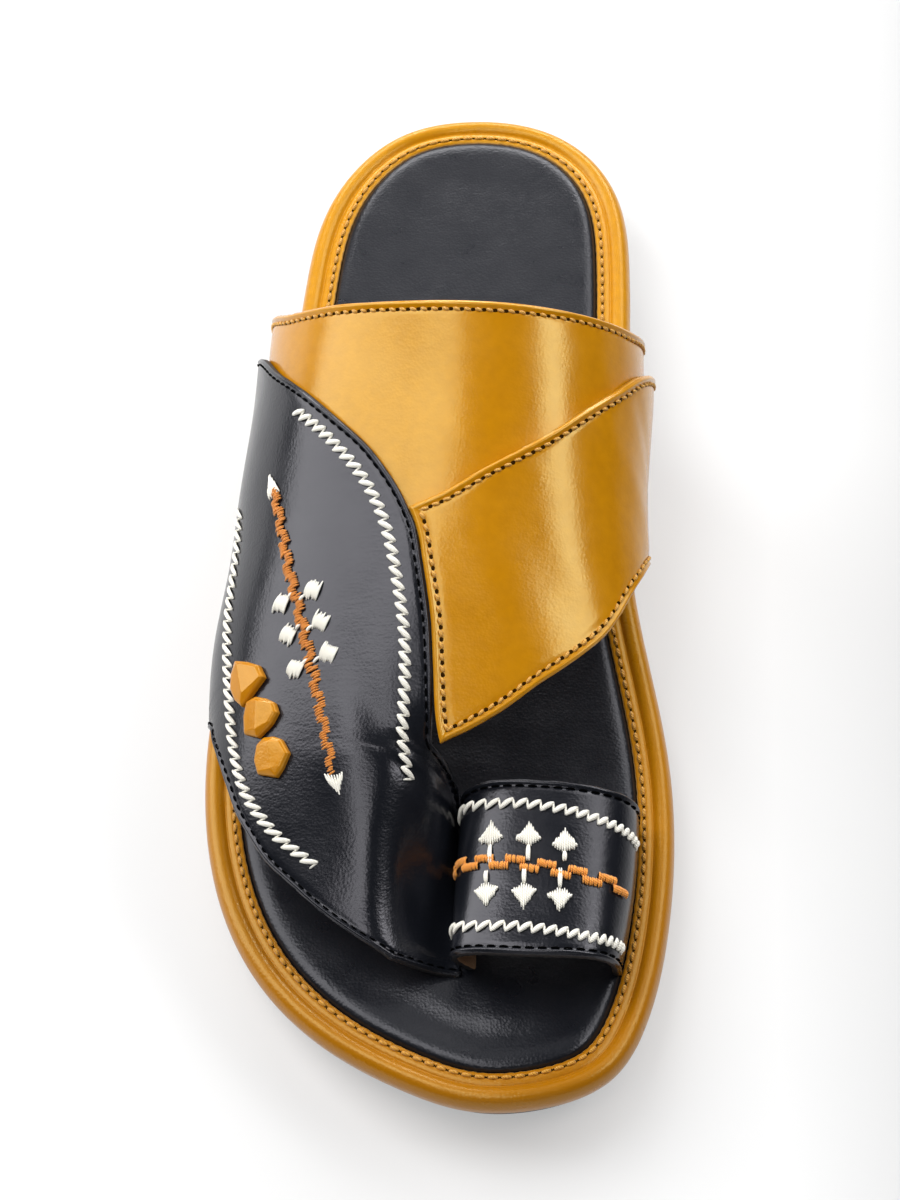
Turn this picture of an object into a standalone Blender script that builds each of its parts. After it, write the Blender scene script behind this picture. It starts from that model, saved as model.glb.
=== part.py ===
"""Toe-loop sandal for the right foot, as separate pieces at their real size.

Sizes are in millimetres and become metres where a mesh is made. A station is the distance from the
back of the heel, x grows towards the inner side of the foot, and a girth is the distance over the
foot from the outer seam of the strap.
"""
from functools import lru_cache

import bmesh
import bpy
import numpy as np

MM = 0.001

# Sole
LENGTH = 286.0
OUTSOLE_THICK = 6.0
HEEL_RISE = 8.0
RISE_FULL, RISE_GONE = 62.0, 178.0
TOE_SPRING = 7.0
SPRING_START = 212.0
OUTSOLE_INSET = 5.0
OUTSOLE_BEVEL = 1.2
ARCH_CLEAR = 3.5
HEEL_BREAST = (68.0, 80.0)
ARCH_END = (126.0, 164.0)

# Wrapped edge of the platform and the bed inside it
BAND_INSET = 8.4
BAND_HEIGHT = 9.5
BED_FLOOR = 5.6
JOINT_GAP = 0.3
STRAP_CHANNEL = 4.5
CHANNEL_RAMP = 6.0
CHANNEL_COLUMNS = ("outer side", "from station", "to station")
CHANNELS = ((True, 68.0, 192.0), (False, 80.0, 150.0), (False, 204.0, 257.0))

# Straps
WALL = 1.8
CROSS_WALL = 3.0
UNDER_DEPTH = 2.5
EDGE_GAP = 0.4
FOOT_DEPTH = 3.4
ROOT_INSET = BAND_INSET + JOINT_GAP
OUTER_POWER = 1.85
INNER_POWER = 2.05
LOOP_POWER = 2.5
TOE_DIP_BASE = 3.7
NORMAL_STEP = 0.5

# Slot in the bed between the first and second toe: station and x of its two ends
SLOT_REAR = (211.0, 6.2)
SLOT_FRONT = (254.0, 10.7)
SLOT_OUTER, SLOT_INNER = 5.8, 2.8
PANEL_TO_LOOP = (1.2, 3.4)
SLOT_END_ROOM = 3.0

# Mesh steps
OUTLINE_POINTS = 88
CURVE_STEPS = 24
HALF_POINTS = 60
FLARE_POINTS = 14
GRID_COLUMNS = ("over the foot", "along the foot")
REAR_STRAP_GRID = (48, 8)
CROSS_STRAP_GRID = (22, 9)
TOE_LOOP_GRID = (26, 5)
SHARP_ANGLE = 40.0
CUTTER_HEIGHT = 28.5

# Outline of the wrapped edge, once round from the heel's back by the inner side
OUTLINE_COLUMNS = ("station", "x")
OUTLINE = (
    (0.0, 2.6), (4.4, 23.2), (14.6, 35.0), (28.0, 41.4), (48.0, 43.9), (75.0, 44.2), (110.0, 43.9),
    (140.0, 45.3), (168.0, 50.2), (192.0, 54.3), (216.0, 55.6), (240.0, 54.0), (262.0, 49.6),
    (277.5, 41.5), (285.0, 26.5), (285.6, 8.0), (280.5, -5.5), (270.0, -22.8), (256.0, -37.0),
    (238.5, -47.3), (218.0, -53.6), (196.0, -56.0), (170.0, -54.9), (140.0, -50.3), (110.0, -45.2),
    (80.0, -41.2), (54.0, -39.0), (34.6, -36.2), (16.0, -28.0), (4.4, -15.8))

# Section of the wrapped edge from its underside to the floor of the bed
EDGE_COLUMNS = ("inset", "height over the joint")
EDGE_PROFILE = (
    (4.6, 0.3), (2.7, 1.1), (1.3, 2.4), (0.45, 4.0), (0.0, 6.0), (0.2, 7.8), (0.9, 9.2), (2.1, 10.0),
    (3.3, 10.1), (4.3, 9.6), (4.9, 9.1), (5.4, 9.3), (6.8, 9.5), (8.1, 9.5), (BAND_INSET, 9.2),
    (BAND_INSET, BED_FLOOR))

# Section of the padded bed from its underside to the top
BED_COLUMNS = ("inset", "height over the floor of the bed")
BED_PROFILE = ((1.2, 0.3), (0.0, 1.0), (0.0, 3.2), (0.5, 4.3), (1.8, 5.1), (4.2, 5.45), (9.0, 5.5))

# The last: outer faces of the straps over the foot, heights over the band
LAST_COLUMNS = ("station", "top", "ridge x", "outer reach", "outer height", "inner reach", "inner height")
LAST = (
    (70.0, 84.0, 2.0, 5.2, 16.0, 5.5, 24.0),
    (90.0, 75.5, 4.0, 4.5, 15.0, 6.4, 25.0),
    (110.0, 68.5, 6.0, 2.8, 14.0, 6.6, 25.0),
    (130.0, 62.0, 7.0, 1.8, 13.0, 5.0, 24.0),
    (150.0, 56.0, 5.0, -0.2, 12.0, 2.8, 21.0),
    (170.0, 49.5, 0.0, -0.6, 11.0, 0.0, 18.0),
    (190.0, 42.0, -6.0, -1.8, 10.0, -2.0, 15.0),
    (210.0, 34.0, -11.0, -2.5, 9.0, -3.0, 12.0),
    (230.0, 24.5, -15.0, -2.8, 7.5, -3.0, 10.0),
    (256.0, 12.0, -14.0, -3.2, 5.0, -3.0, 8.0))
TOES_PART = (190.0, 213.0)
DIP_FLATTENS = (215.0, 248.0)

# Big toe loop: its outer shoulder and top over the band
LOOP_COLUMNS = ("station", "shoulder x", "top", "top x")
LOOP = ((208.0, 6.6, 24.0, 24.0), (232.0, 5.9, 22.5, 25.0), (258.0, 5.2, 19.5, 25.0))
LOOP_SHOULDER_HEIGHT = 11.0
LOOP_INNER_HEIGHT = 8.0
LOOP_INNER_REACH = 0.5

# Free edges of the straps along their girth, from the outer end (0) to the inner end (1)
STRAP_COLUMNS = ("share of girth", "rear edge", "front edge")
REAR_STRAP = (
    (0.0, 74.0, 112.0), (0.15, 84.5, 118.0), (0.25, 97.0, 132.0), (0.35, 105.0, 148.0), (0.45, 110.0, 164.0),
    (0.5, 111.0, 166.0), (0.55, 111.0, 164.0), (0.65, 108.5, 150.0), (0.75, 102.5, 136.0),
    (0.85, 93.0, 124.0), (1.0, 86.0, 116.0))
CROSS_STRAP = (
    (0.0, 157.0, 209.0), (0.1, 153.8, 205.6), (0.2, 149.0, 201.0), (0.3, 144.0, 194.5), (0.4, 138.0, 187.8),
    (0.5, 130.5, 178.8), (0.6, 121.8, 164.5), (0.7, 112.0, 154.5), (0.8, 103.5, 149.0), (1.0, 96.0, 144.0))
TOE_LOOP = (
    (0.0, 211.0, 251.0), (0.15, 211.0, 252.5), (0.3, 211.5, 255.0), (0.5, 212.5, 256.8), (0.7, 213.0, 256.3),
    (0.85, 212.0, 254.5), (1.0, 210.5, 250.5))

# Free edges of the outer panel as girths: the long curved one over the instep and the one over the toes
PANEL_EDGE_COLUMNS = ("station", "girth")
PANEL_UPPER_EDGE = (
    (84.0, 10.0), (90.0, 22.5), (99.0, 36.7), (112.0, 50.2), (122.0, 60.8), (132.0, 69.9), (140.0, 76.3),
    (147.0, 80.4), (155.0, 84.3), (162.0, 86.8), (170.0, 87.4), (181.0, 86.7), (192.0, 84.3), (207.0, 80.7),
    (214.0, 80.0))
PANEL_TOE_EDGE = (
    (185.6, 0.0), (186.4, 3.6), (189.0, 11.0), (192.0, 18.5), (198.0, 21.6), (204.0, 23.8), (211.0, 25.3),
    (218.0, 25.9), (225.0, 27.3), (232.0, 28.8), (238.0, 31.6), (243.0, 33.8), (248.0, 37.1), (251.0, 39.8),
    (253.5, 44.0))
PANEL_DIVE = (207.0, 213.0)
PANEL_RUN_COLUMNS = ("from", "to", "steps")
PANEL_RUNS = (
    (84.0, 100.0, 6), (100.0, 185.6, 11), (185.6, 186.4, 1), (186.4, 194.0, 4), (194.0, 206.0, 3),
    (206.0, 214.0, 6), (214.0, 253.5, 9))
PANEL_ACROSS = 14

# Raised studs on the panel: where each sits and its outline about that place, as station and girth
STUD_COLUMNS = ("place", "outline")
STUDS = (
    ((189.5, 39.1), ((-6.5, -2.5), (-4.5, 1.5), (-2.5, 4.5), (1.0, 5.5), (4.0, 1.1), (6.5, -2.6),
                     (4.0, -4.5), (0.5, -5.5), (-3.5, -4.5))),
    ((199.4, 40.8), ((-4.8, -2.6), (-5.2, 0.3), (-3.8, 3.1), (-2.2, 5.1), (0.4, 5.3), (2.8, 2.9),
                     (5.2, -1.7), (3.2, -5.3), (-1.2, -4.4))),
    ((209.4, 41.0), ((-3.8, -2.7), (-5.0, -0.3), (-4.6, 2.3), (-3.4, 4.2), (0.2, 4.9), (3.4, 1.9),
                     (5.2, -0.4), (3.4, -4.9), (-0.2, -4.7))))
STUD_SIZE = 0.92
STUD_RING_COLUMNS = ("size", "height over the panel")
STUD_RINGS = ((1.0, 0.35), (1.0, 1.5), (0.6, 2.7))

# Colours: red, green, blue, then roughness
MUSTARD = (0.62, 0.30, 0.03, 0.38)
BLACK_LEATHER = (0.012, 0.012, 0.015, 0.3)
BLACK_BED = (0.014, 0.015, 0.019, 0.35)
BLACK_RUBBER = (0.02, 0.02, 0.021, 0.7)


def ease(start, end, value):
    """Smooth step from 0 to 1."""
    t = np.clip((np.asarray(value, float) - start) / (end - start), 0.0, 1.0)
    return t * t * (3.0 - 2.0 * t)


def hermite(t, step, p0, p1, m0, m1):
    """Cubic between two values with given slopes."""
    rise = 3.0 * t**2 - 2.0 * t**3
    return (1.0 - rise) * p0 + rise * p1 + step * ((t**3 - 2.0 * t**2 + t) * m0 + (t**3 - t**2) * m1)


def closed_curve(points, steps):
    """Smooth closed curve through the points."""
    p = np.asarray(points, float)
    count = len(p)
    after = np.roll(p, -1, axis=0)
    step = np.linalg.norm(after - p, axis=1)
    matrix = np.zeros((count, count))
    right = np.zeros_like(p)
    for i in range(count):
        j = (i + 1) % count
        matrix[i, i - 1] = step[i]
        matrix[i, i] = 2.0 * (step[i - 1] + step[i])
        matrix[i, j] = step[i - 1]
        back = (p[i] - p[i - 1]) / step[i - 1]
        ahead = (p[j] - p[i]) / step[i]
        right[i] = 3.0 * (step[i] * back + step[i - 1] * ahead)
    slope = np.linalg.solve(matrix, right)
    curve = []
    for i in range(count):
        j = (i + 1) % count
        for t in np.arange(steps) / steps:
            curve.append(hermite(t, step[i], p[i], p[j], slope[i], slope[j]))
    return np.array(curve)


def table_row(table, key):
    """Values of a table at a key, smooth between its rows."""
    t = np.asarray(table, float)
    keys, values = t[:, 0], t[:, 1:]
    gaps = np.diff(keys)
    rates = np.diff(values, axis=0) / gaps[:, None]
    slopes = np.empty_like(values)
    slopes[0], slopes[-1] = rates[0], rates[-1]
    weights = gaps[:-1, None] + gaps[1:, None]
    slopes[1:-1] = (rates[:-1] * gaps[1:, None] + rates[1:] * gaps[:-1, None]) / weights
    key = np.clip(key, keys[0], keys[-1])
    i = int(np.clip(np.searchsorted(keys, key, side="right") - 1, 0, len(gaps) - 1))
    return hermite((key - keys[i]) / gaps[i], gaps[i], values[i], values[i + 1], slopes[i], slopes[i + 1])


def along(points):
    """Distance along a polyline at each of its points."""
    return np.concatenate([[0.0], np.cumsum(np.linalg.norm(np.diff(points, axis=0), axis=1))])


def resample(points, count):
    """The same polyline with evenly spaced points."""
    distance = along(points)
    even = np.linspace(0.0, distance[-1], count)
    return np.stack([np.interp(even, distance, column) for column in points.T], axis=1)


# Outline of the sole and its inward direction
FINE_OUTLINE = closed_curve(OUTLINE, CURVE_STEPS)
RING = resample(np.vstack([FINE_OUTLINE, FINE_OUTLINE[:1]]), OUTLINE_POINTS + 1)[:-1]
X_MIDDLE = (FINE_OUTLINE[:, 1].min() + FINE_OUTLINE[:, 1].max()) / 2.0
STATION_MIDDLE = (FINE_OUTLINE[:, 0].min() + FINE_OUTLINE[:, 0].max()) / 2.0


def inward(curve):
    """Unit vectors into a closed outline."""
    tangent = np.roll(curve, -1, axis=0) - np.roll(curve, 1, axis=0)
    tangent /= np.linalg.norm(tangent, axis=1)[:, None]
    return np.stack([tangent[:, 1], -tangent[:, 0]], axis=1)


def sides(inset):
    """Outer and inner half of the outline, moved inwards, sorted by station."""
    curve = FINE_OUTLINE + inset * inward(FINE_OUTLINE)
    curve = np.roll(curve, -int(np.argmin(curve[:, 0])), axis=0)
    tip = int(np.argmax(curve[:, 0]))
    return np.vstack([curve[tip:], curve[:1]])[::-1], curve[:tip + 1]


EDGE_SIDES = sides(0.0)
ROOT_SIDES = sides(ROOT_INSET)


def side_x(half, station):
    """x of one half of an outline at a station."""
    return np.interp(station, half[:, 0], half[:, 1])


def toe_spring(station):
    """Rise of the toe off the floor."""
    share = np.clip((np.asarray(station, float) - SPRING_START) / (LENGTH - SPRING_START), 0.0, 1.0)
    return TOE_SPRING * share**2


def joint_height(station):
    """Top of the outsole."""
    return OUTSOLE_THICK + HEEL_RISE * (1.0 - ease(RISE_FULL, RISE_GONE, station)) + toe_spring(station)


def tread_height(station):
    """Underside of the outsole: heel and forefoot on the floor, arch and toe clear of it."""
    arch = ARCH_CLEAR * (ease(*HEEL_BREAST, station) - ease(*ARCH_END, station))
    return arch + toe_spring(station)


def band_height(station):
    """Flat stitched band of the wrapped edge."""
    return joint_height(station) + BAND_HEIGHT


def slot_x(station):
    """Middle line of the slot between the toes."""
    share = (station - SLOT_REAR[0]) / (SLOT_FRONT[0] - SLOT_REAR[0])
    return SLOT_REAR[1] + share * (SLOT_FRONT[1] - SLOT_REAR[1])


def half_section(root, widest, height, ridge, top, power):
    """Half of a section: foot in the seam, flare to the widest place, then round to the ridge."""
    q = np.linspace(0.0, 1.0, FLARE_POINTS)
    flare = np.stack([root + (widest - root) * np.sin(q * np.pi / 2.0), height * q], axis=1)
    turn = np.linspace(0.0, np.pi / 2.0, HALF_POINTS)[1:]
    across = ridge + (widest - ridge) * np.cos(turn) ** (2.0 / power)
    up = height + (top - height) * np.sin(turn) ** (2.0 / power)
    return np.vstack([[[root, -FOOT_DEPTH]], flare, np.stack([across, up], axis=1)])


def toe_half(station, ridge, top):
    """Inner half of the panel over the small toes, down to the slot beside the loop."""
    share = ease(*DIP_FLATTENS, station)
    end = slot_x(max(station, SLOT_REAR[0])) - np.interp(share, (0.0, 1.0), PANEL_TO_LOOP)
    turn = np.linspace(0.0, np.pi / 2.0, HALF_POINTS)
    x = ridge + (end - ridge) * np.cos(turn) ** (2.0 / INNER_POWER)
    arch = np.sin(turn) ** (2.0 / INNER_POWER)
    dip = 0.5 + 0.5 * np.cos(np.pi * (x - ridge) / (end - ridge))
    height = TOE_DIP_BASE + (top - TOE_DIP_BASE) * ((1.0 - share) * arch + share * dip)
    return np.vstack([[[end, -FOOT_DEPTH]], np.stack([x, height], axis=1)])


@lru_cache(maxsize=None)
def last_section(station):
    """Section of the foot form with the girth at each point."""
    top, ridge, outer_reach, outer_height, inner_reach, inner_height = table_row(LAST, station)
    outer_root, inner_root = (side_x(half, station) for half in ROOT_SIDES)
    outer_edge, inner_edge = (side_x(half, station) for half in EDGE_SIDES)
    outer = half_section(outer_root, outer_edge - outer_reach, outer_height, ridge, top, OUTER_POWER)
    inner = half_section(inner_root, inner_edge + inner_reach, inner_height, ridge, top, INNER_POWER)
    points = np.vstack([outer, inner[::-1][1:]])
    return points, along(points)


@lru_cache(maxsize=None)
def panel_section(station):
    """Section of the outer panel: the foot form, then only the small toes."""
    points, girth = last_section(station)
    share = ease(*TOES_PART, station)
    if share == 0.0:
        return points, girth
    peak = len(points) // 2
    ridge, top = points[peak]
    count = len(points) - peak
    over_foot = resample(points[peak:], count)
    over_toes = resample(toe_half(station, ridge, top)[::-1], count)
    inner = (1.0 - share) * over_foot + share * over_toes
    points = np.vstack([points[:peak], inner])
    return points, along(points)


@lru_cache(maxsize=None)
def loop_section(station):
    """Section of the big toe loop, from the slot to the inner seam."""
    shoulder, top, top_x = table_row(LOOP, station)
    root = side_x(ROOT_SIDES[1], station)
    outer = half_section(slot_x(station), shoulder, LOOP_SHOULDER_HEIGHT, top_x, top, LOOP_POWER)
    inner = half_section(root, root + LOOP_INNER_REACH, LOOP_INNER_HEIGHT, top_x, top, LOOP_POWER)
    points = np.vstack([outer, inner[::-1][1:]])
    return points, along(points)


def on_form(form, station, girth):
    """Point of a form's outer face as x, station and height."""
    points, girths = form(float(station))
    x = np.interp(girth, girths, points[:, 0])
    height = np.interp(girth, girths, points[:, 1])
    return np.array([x, station, band_height(station) + height])


def under_form(form, station, girth, depths):
    """Points at given depths under a form's outer face."""
    whole = form(float(station))[1][-1]
    low, high = max(girth - NORMAL_STEP, 0.0), min(girth + NORMAL_STEP, whole)
    over = on_form(form, station, high) - on_form(form, station, low)
    ahead = on_form(form, station + NORMAL_STEP, girth) - on_form(form, station - NORMAL_STEP, girth)
    normal = np.cross(over, ahead)
    normal /= np.linalg.norm(normal)
    point = on_form(form, station, girth)
    return [point - depth * normal for depth in depths]


def panel_edges(station):
    """Lower and upper girth of the panel at a station."""
    whole = panel_section(float(station))[1][-1]
    lower = table_row(PANEL_TOE_EDGE, station)[0]
    upper = table_row(PANEL_UPPER_EDGE, station)[0]
    dive = ease(*PANEL_DIVE, station)
    return max(lower, 0.0), (1.0 - dive) * upper + dive * whole


def material(name, finish):
    """Plain finish of a piece."""
    mat = bpy.data.materials.new(name)
    mat.use_nodes = True
    shader = mat.node_tree.nodes["Principled BSDF"]
    shader.inputs["Base Color"].default_value = (*finish[:3], 1.0)
    shader.inputs["Roughness"].default_value = finish[3]
    shader.inputs["Metallic"].default_value = 0.0
    mat.diffuse_color = (*finish[:3], 1.0)
    return mat


def add_piece(name, points, faces, finish, parent):
    """Closed mesh object from points given as x, station and height."""
    x, station, height = np.asarray(points, float).T
    places = np.stack([x - X_MIDDLE, STATION_MIDDLE - station, height], axis=1) * MM
    mesh = bpy.data.meshes.new(name)
    mesh.from_pydata(places.tolist(), [], faces)
    work = bmesh.new()
    work.from_mesh(mesh)
    bmesh.ops.recalc_face_normals(work, faces=work.faces)
    work.to_mesh(mesh)
    work.free()
    mesh.shade_smooth()
    mesh.set_sharp_from_angle(angle=np.radians(SHARP_ANGLE))
    mesh.materials.append(material(name, finish))
    piece = bpy.data.objects.new(name, mesh)
    bpy.context.scene.collection.objects.link(piece)
    piece.parent = parent
    return piece


def ring_band(first, second, count):
    """Quads between two rings of the same size."""
    nexts = [(k + 1) % count for k in range(count)]
    return [(first + k, first + nexts[k], second + nexts[k], second + k) for k in range(count)]


def ring_cap(start, count):
    """Strips across a ring, from one side of the foot to the other."""
    faces = [(start, start + 1, start + count - 1)]
    for k in range(1, count // 2 - 1):
        faces.append((start + k, start + k + 1, start + count - k - 1, start + count - k))
    toe = start + count // 2
    faces.append((toe - 1, toe, toe + 1))
    return faces


def ring_stack(name, rings, finish, parent):
    """Solid through a stack of rings, closed at both ends."""
    count = len(rings[0])
    faces = ring_cap(0, count)
    for k in range(len(rings) - 1):
        faces += ring_band(k * count, (k + 1) * count, count)
    faces += ring_cap((len(rings) - 1) * count, count)
    return add_piece(name, np.vstack(rings), faces, finish, parent)


def sole_ring(inset, height):
    """Ring inside the outline; height is a function of the station."""
    ring = RING + np.reshape(inset, (-1, 1)) * inward(RING)
    return np.stack([ring[:, 1], ring[:, 0], height(ring[:, 0])], axis=1)


def make_outsole(parent):
    """Rubber sole with heel, raised arch and toe spring."""
    def top(station):
        return joint_height(station)

    def bevel(station):
        return tread_height(station) + OUTSOLE_BEVEL

    bottom_inset = OUTSOLE_INSET + OUTSOLE_BEVEL
    rings = [
        sole_ring(bottom_inset, tread_height),
        sole_ring(OUTSOLE_INSET, bevel),
        sole_ring(OUTSOLE_INSET, top)]
    return ring_stack("outsole", rings, BLACK_RUBBER, parent)


def make_platform(parent):
    """Leather-wrapped midsole: bead, groove, stitched band and the bed's well."""
    rings = []
    for inset, height in EDGE_PROFILE:
        rings.append(sole_ring(inset, lambda station, up=height: joint_height(station) + up))
    return ring_stack("midsole", rings, MUSTARD, parent)


def channel_inset():
    """Inset of the bed's edge: wider where strap ends go down beside it."""
    station = RING[:, 0]
    outer_side = RING[:, 1] < 0.0
    room = np.zeros(len(RING))
    for outer, start, end in CHANNELS:
        opens = ease(start - CHANNEL_RAMP, start, station)
        closes = ease(end, end + CHANNEL_RAMP, station)
        room = np.maximum(room, (outer_side == outer) * (opens - closes))
    return ROOT_INSET + STRAP_CHANNEL * room


def make_bed(parent):
    """Padded insole with a slot for the loop's leg and the panel's end."""
    edge = channel_inset()
    rings = []
    for inset, height in BED_PROFILE:
        up = BED_FLOOR + height
        rings.append(sole_ring(edge + inset, lambda station, up=up: joint_height(station) + up))
    bed = ring_stack("insole", rings, BLACK_BED, parent)
    corners = []
    for station in (SLOT_REAR[0] - SLOT_END_ROOM, SLOT_FRONT[0] + SLOT_END_ROOM):
        middle = slot_x(station)
        for x in (middle - SLOT_OUTER, middle + SLOT_INNER):
            for height in (0.0, CUTTER_HEIGHT):
                corners.append((x, station, joint_height(station) + height))
    faces = [(0, 1, 3, 2), (4, 6, 7, 5), (0, 4, 5, 1), (2, 3, 7, 6), (0, 2, 6, 4), (1, 5, 7, 3)]
    cutter = add_piece("slot_cutter", corners, faces, BLACK_BED, parent)
    combine(bed, cutter, "DIFFERENCE")
    return bed


def combine(piece, other, operation):
    """Boolean with a helper shape that stays out of the model."""
    step = piece.modifiers.new(operation.lower(), "BOOLEAN")
    step.operation = operation
    step.object = other
    step.solver = "EXACT"
    other.hide_render = True
    other.display_type = "WIRE"


def wall(name, form, places, depths, finish, parent):
    """Closed leather wall under a form, on a grid of (station, girth) places."""
    rows, columns = len(places), len(places[0])
    layers = [[], []]
    for line in places:
        for station, girth in line:
            for layer, point in zip(layers, under_form(form, station, girth, depths)):
                layer.append(point)
    under = rows * columns
    faces = []
    for i in range(rows - 1):
        for j in range(columns - 1):
            a, b = i * columns + j, i * columns + j + 1
            c, d = b + columns, a + columns
            faces.append((a, b, c, d))
            faces.append((under + d, under + c, under + b, under + a))
    rim = [j for j in range(columns)]
    rim += [i * columns + columns - 1 for i in range(1, rows)]
    rim += [(rows - 1) * columns + j for j in range(columns - 2, -1, -1)]
    rim += [i * columns for i in range(rows - 2, 0, -1)]
    for a, b in zip(rim, rim[1:] + rim[:1]):
        faces.append((b, a, under + a, under + b))
    return add_piece(name, layers[0] + layers[1], faces, finish, parent)


def girth_steps(lower, upper, count, ends):
    """Even girths between two edges, with a step of the seam's depth at the ends that go into a seam."""
    first = lower + FOOT_DEPTH if ends[0] else lower
    last = upper - FOOT_DEPTH if ends[1] else upper
    return [lower] * ends[0] + list(np.linspace(first, last, count)) + [upper] * ends[1]


def strap_places(table, form, start_girth, ends, rows, columns):
    """Grid of a strap between its rear and front edges."""
    shares = [0.0] * ends[0] + list(np.linspace(0.0, 1.0, rows)) + [1.0] * ends[1]
    places = []
    for k, share in enumerate(shares):
        rear, front = table_row(table, share)
        line = []
        for station in np.linspace(rear, front, columns):
            whole = form(float(station))[1][-1]
            line.append((station, girth_steps(start_girth(station), whole, rows, ends)[k]))
        places.append(line)
    return places


def make_straps(parent):
    """Rear strap and the cross strap sewn over it, as one solid."""
    def from_seam(station):
        return 0.0

    def beside_panel(station):
        return table_row(PANEL_UPPER_EDGE, station)[0] + EDGE_GAP

    rear = strap_places(REAR_STRAP, last_section, from_seam, (True, True), *REAR_STRAP_GRID)
    cross = strap_places(CROSS_STRAP, last_section, beside_panel, (False, True), *CROSS_STRAP_GRID)
    straps = wall("upper_straps", last_section, rear, (UNDER_DEPTH, UNDER_DEPTH + WALL), MUSTARD, parent)
    over = wall("cross_strap_form", last_section, cross, (0.0, CROSS_WALL), MUSTARD, parent)
    combine(straps, over, "UNION")
    return straps


def make_panel(parent):
    """Outer panel from the instep to the gap beside the big toe."""
    stations = [PANEL_RUNS[0][0]]
    for start, end, steps in PANEL_RUNS:
        stations += list(np.linspace(start, end, steps + 1)[1:])
    places = []
    for station in stations:
        lower, upper = panel_edges(station)
        places.append([(station, girth) for girth in girth_steps(lower, upper, PANEL_ACROSS, (True, True))])
    return wall("upper_panel", panel_section, places, (0.0, WALL), BLACK_LEATHER, parent)


def make_loop(parent):
    """Loop for the big toe."""
    places = strap_places(TOE_LOOP, loop_section, lambda station: 0.0, (True, True), *TOE_LOOP_GRID)
    return wall("upper_toe_loop", loop_section, places, (0.0, WALL), BLACK_LEATHER, parent)


def make_stud(number, place, outline, parent):
    """Raised stud that follows the panel under it."""
    points = []
    for size, height in STUD_RINGS:
        for forward, over in outline:
            station = place[0] + STUD_SIZE * size * forward
            girth = place[1] + STUD_SIZE * size * over
            points += under_form(panel_section, station, girth, (-height,))
    count = len(outline)
    faces = [tuple(range(count))]
    for k in range(len(STUD_RINGS) - 1):
        faces += ring_band(k * count, (k + 1) * count, count)
    faces.append(tuple(range((len(STUD_RINGS) - 1) * count, len(STUD_RINGS) * count)))
    return add_piece(f"stud_{number}", points, faces, MUSTARD, parent)


def main():
    """Build every piece under one empty at the middle of the footprint."""
    for old in list(bpy.data.objects):
        bpy.data.objects.remove(old, do_unlink=True)
    sandal = bpy.data.objects.new("sandal", None)
    bpy.context.scene.collection.objects.link(sandal)
    make_outsole(sandal)
    make_platform(sandal)
    make_bed(sandal)
    make_straps(sandal)
    make_panel(sandal)
    make_loop(sandal)
    for number, (place, outline) in enumerate(STUDS, start=1):
        make_stud(number, place, outline, sandal)


main()
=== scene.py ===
"""Finished look of a toe-loop sandal for the right foot, built round its solids.

Shapes are worked out in millimetres as x, station and height: a station is the distance from the
back of the heel, x grows towards the inner side of the foot, and a girth is the distance over the
foot from the outer seam of the strap. They become metres where a mesh is made.
"""

import bmesh
import bpy
import numpy as np
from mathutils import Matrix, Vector


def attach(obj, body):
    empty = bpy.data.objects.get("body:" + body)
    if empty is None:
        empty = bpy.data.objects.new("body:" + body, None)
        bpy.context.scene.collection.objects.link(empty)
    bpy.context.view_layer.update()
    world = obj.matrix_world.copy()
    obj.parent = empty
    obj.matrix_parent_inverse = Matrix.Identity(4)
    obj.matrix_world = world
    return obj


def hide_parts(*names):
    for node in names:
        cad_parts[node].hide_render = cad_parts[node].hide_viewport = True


MM = 0.001

# Sole
LENGTH = 286.0
OUTSOLE_THICK = 6.0
HEEL_RISE = 8.0
RISE_FULL, RISE_GONE = 62.0, 178.0
TOE_SPRING = 7.0
SPRING_START = 212.0
ARCH_CLEAR = 3.5
HEEL_BREAST = (68.0, 80.0)
ARCH_END = (126.0, 164.0)
SPINE_ENDS = (36.0, 248.0)

# Wrapped edge and bed
BAND_INSET = 8.4
BAND_HEIGHT = 9.5
RAW_INSET = 8.15
EDGE_UNDER = 0.2
PUCKERS = 200.0
PUCKER_DEPTH = 0.1
PUCKER_INSET, PUCKER_HALF = 8.2, 0.5
BED_TOP = 11.1
BED_FLOOR = 5.6
BED_UNDER = 5.9
BED_PILLOW = 0.5
PILLOW_REACH = 24.0
BED_CREASE_REACH = 8.0
SEAM_GAP = 0.15

# Straps
WALL = 1.8
CROSS_WALL = 2.3
UNDER_DEPTH = 2.5
EDGE_GAP = 0.35
FOOT_DEPTH = 3.4
ROOT_INSET = 8.7
OUTER_POWER = 1.85
INNER_POWER = 2.05
LOOP_POWER = 2.5
TOE_DIP_BASE = 3.7

# Free edge of a strap: rounded rim, folded roll, the stitch line's trough and the lining's turn
RIM_RADIUS = 0.7
ROLL_PLACE, ROLL_HALF = 0.75, 0.5
TROUGH_DEPTH, TROUGH_HALF = 0.24, 0.42
LINING_TURN, LINING_REACH = 0.45, 0.5
CREASE_FADE = (0.5, 5.0)

# Slot in the bed between the first and second toe: station and x of its two ends
SLOT_REAR = (211.0, 6.2)
SLOT_FRONT = (254.0, 10.7)
PANEL_TO_LOOP = (1.2, 3.4)

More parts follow.
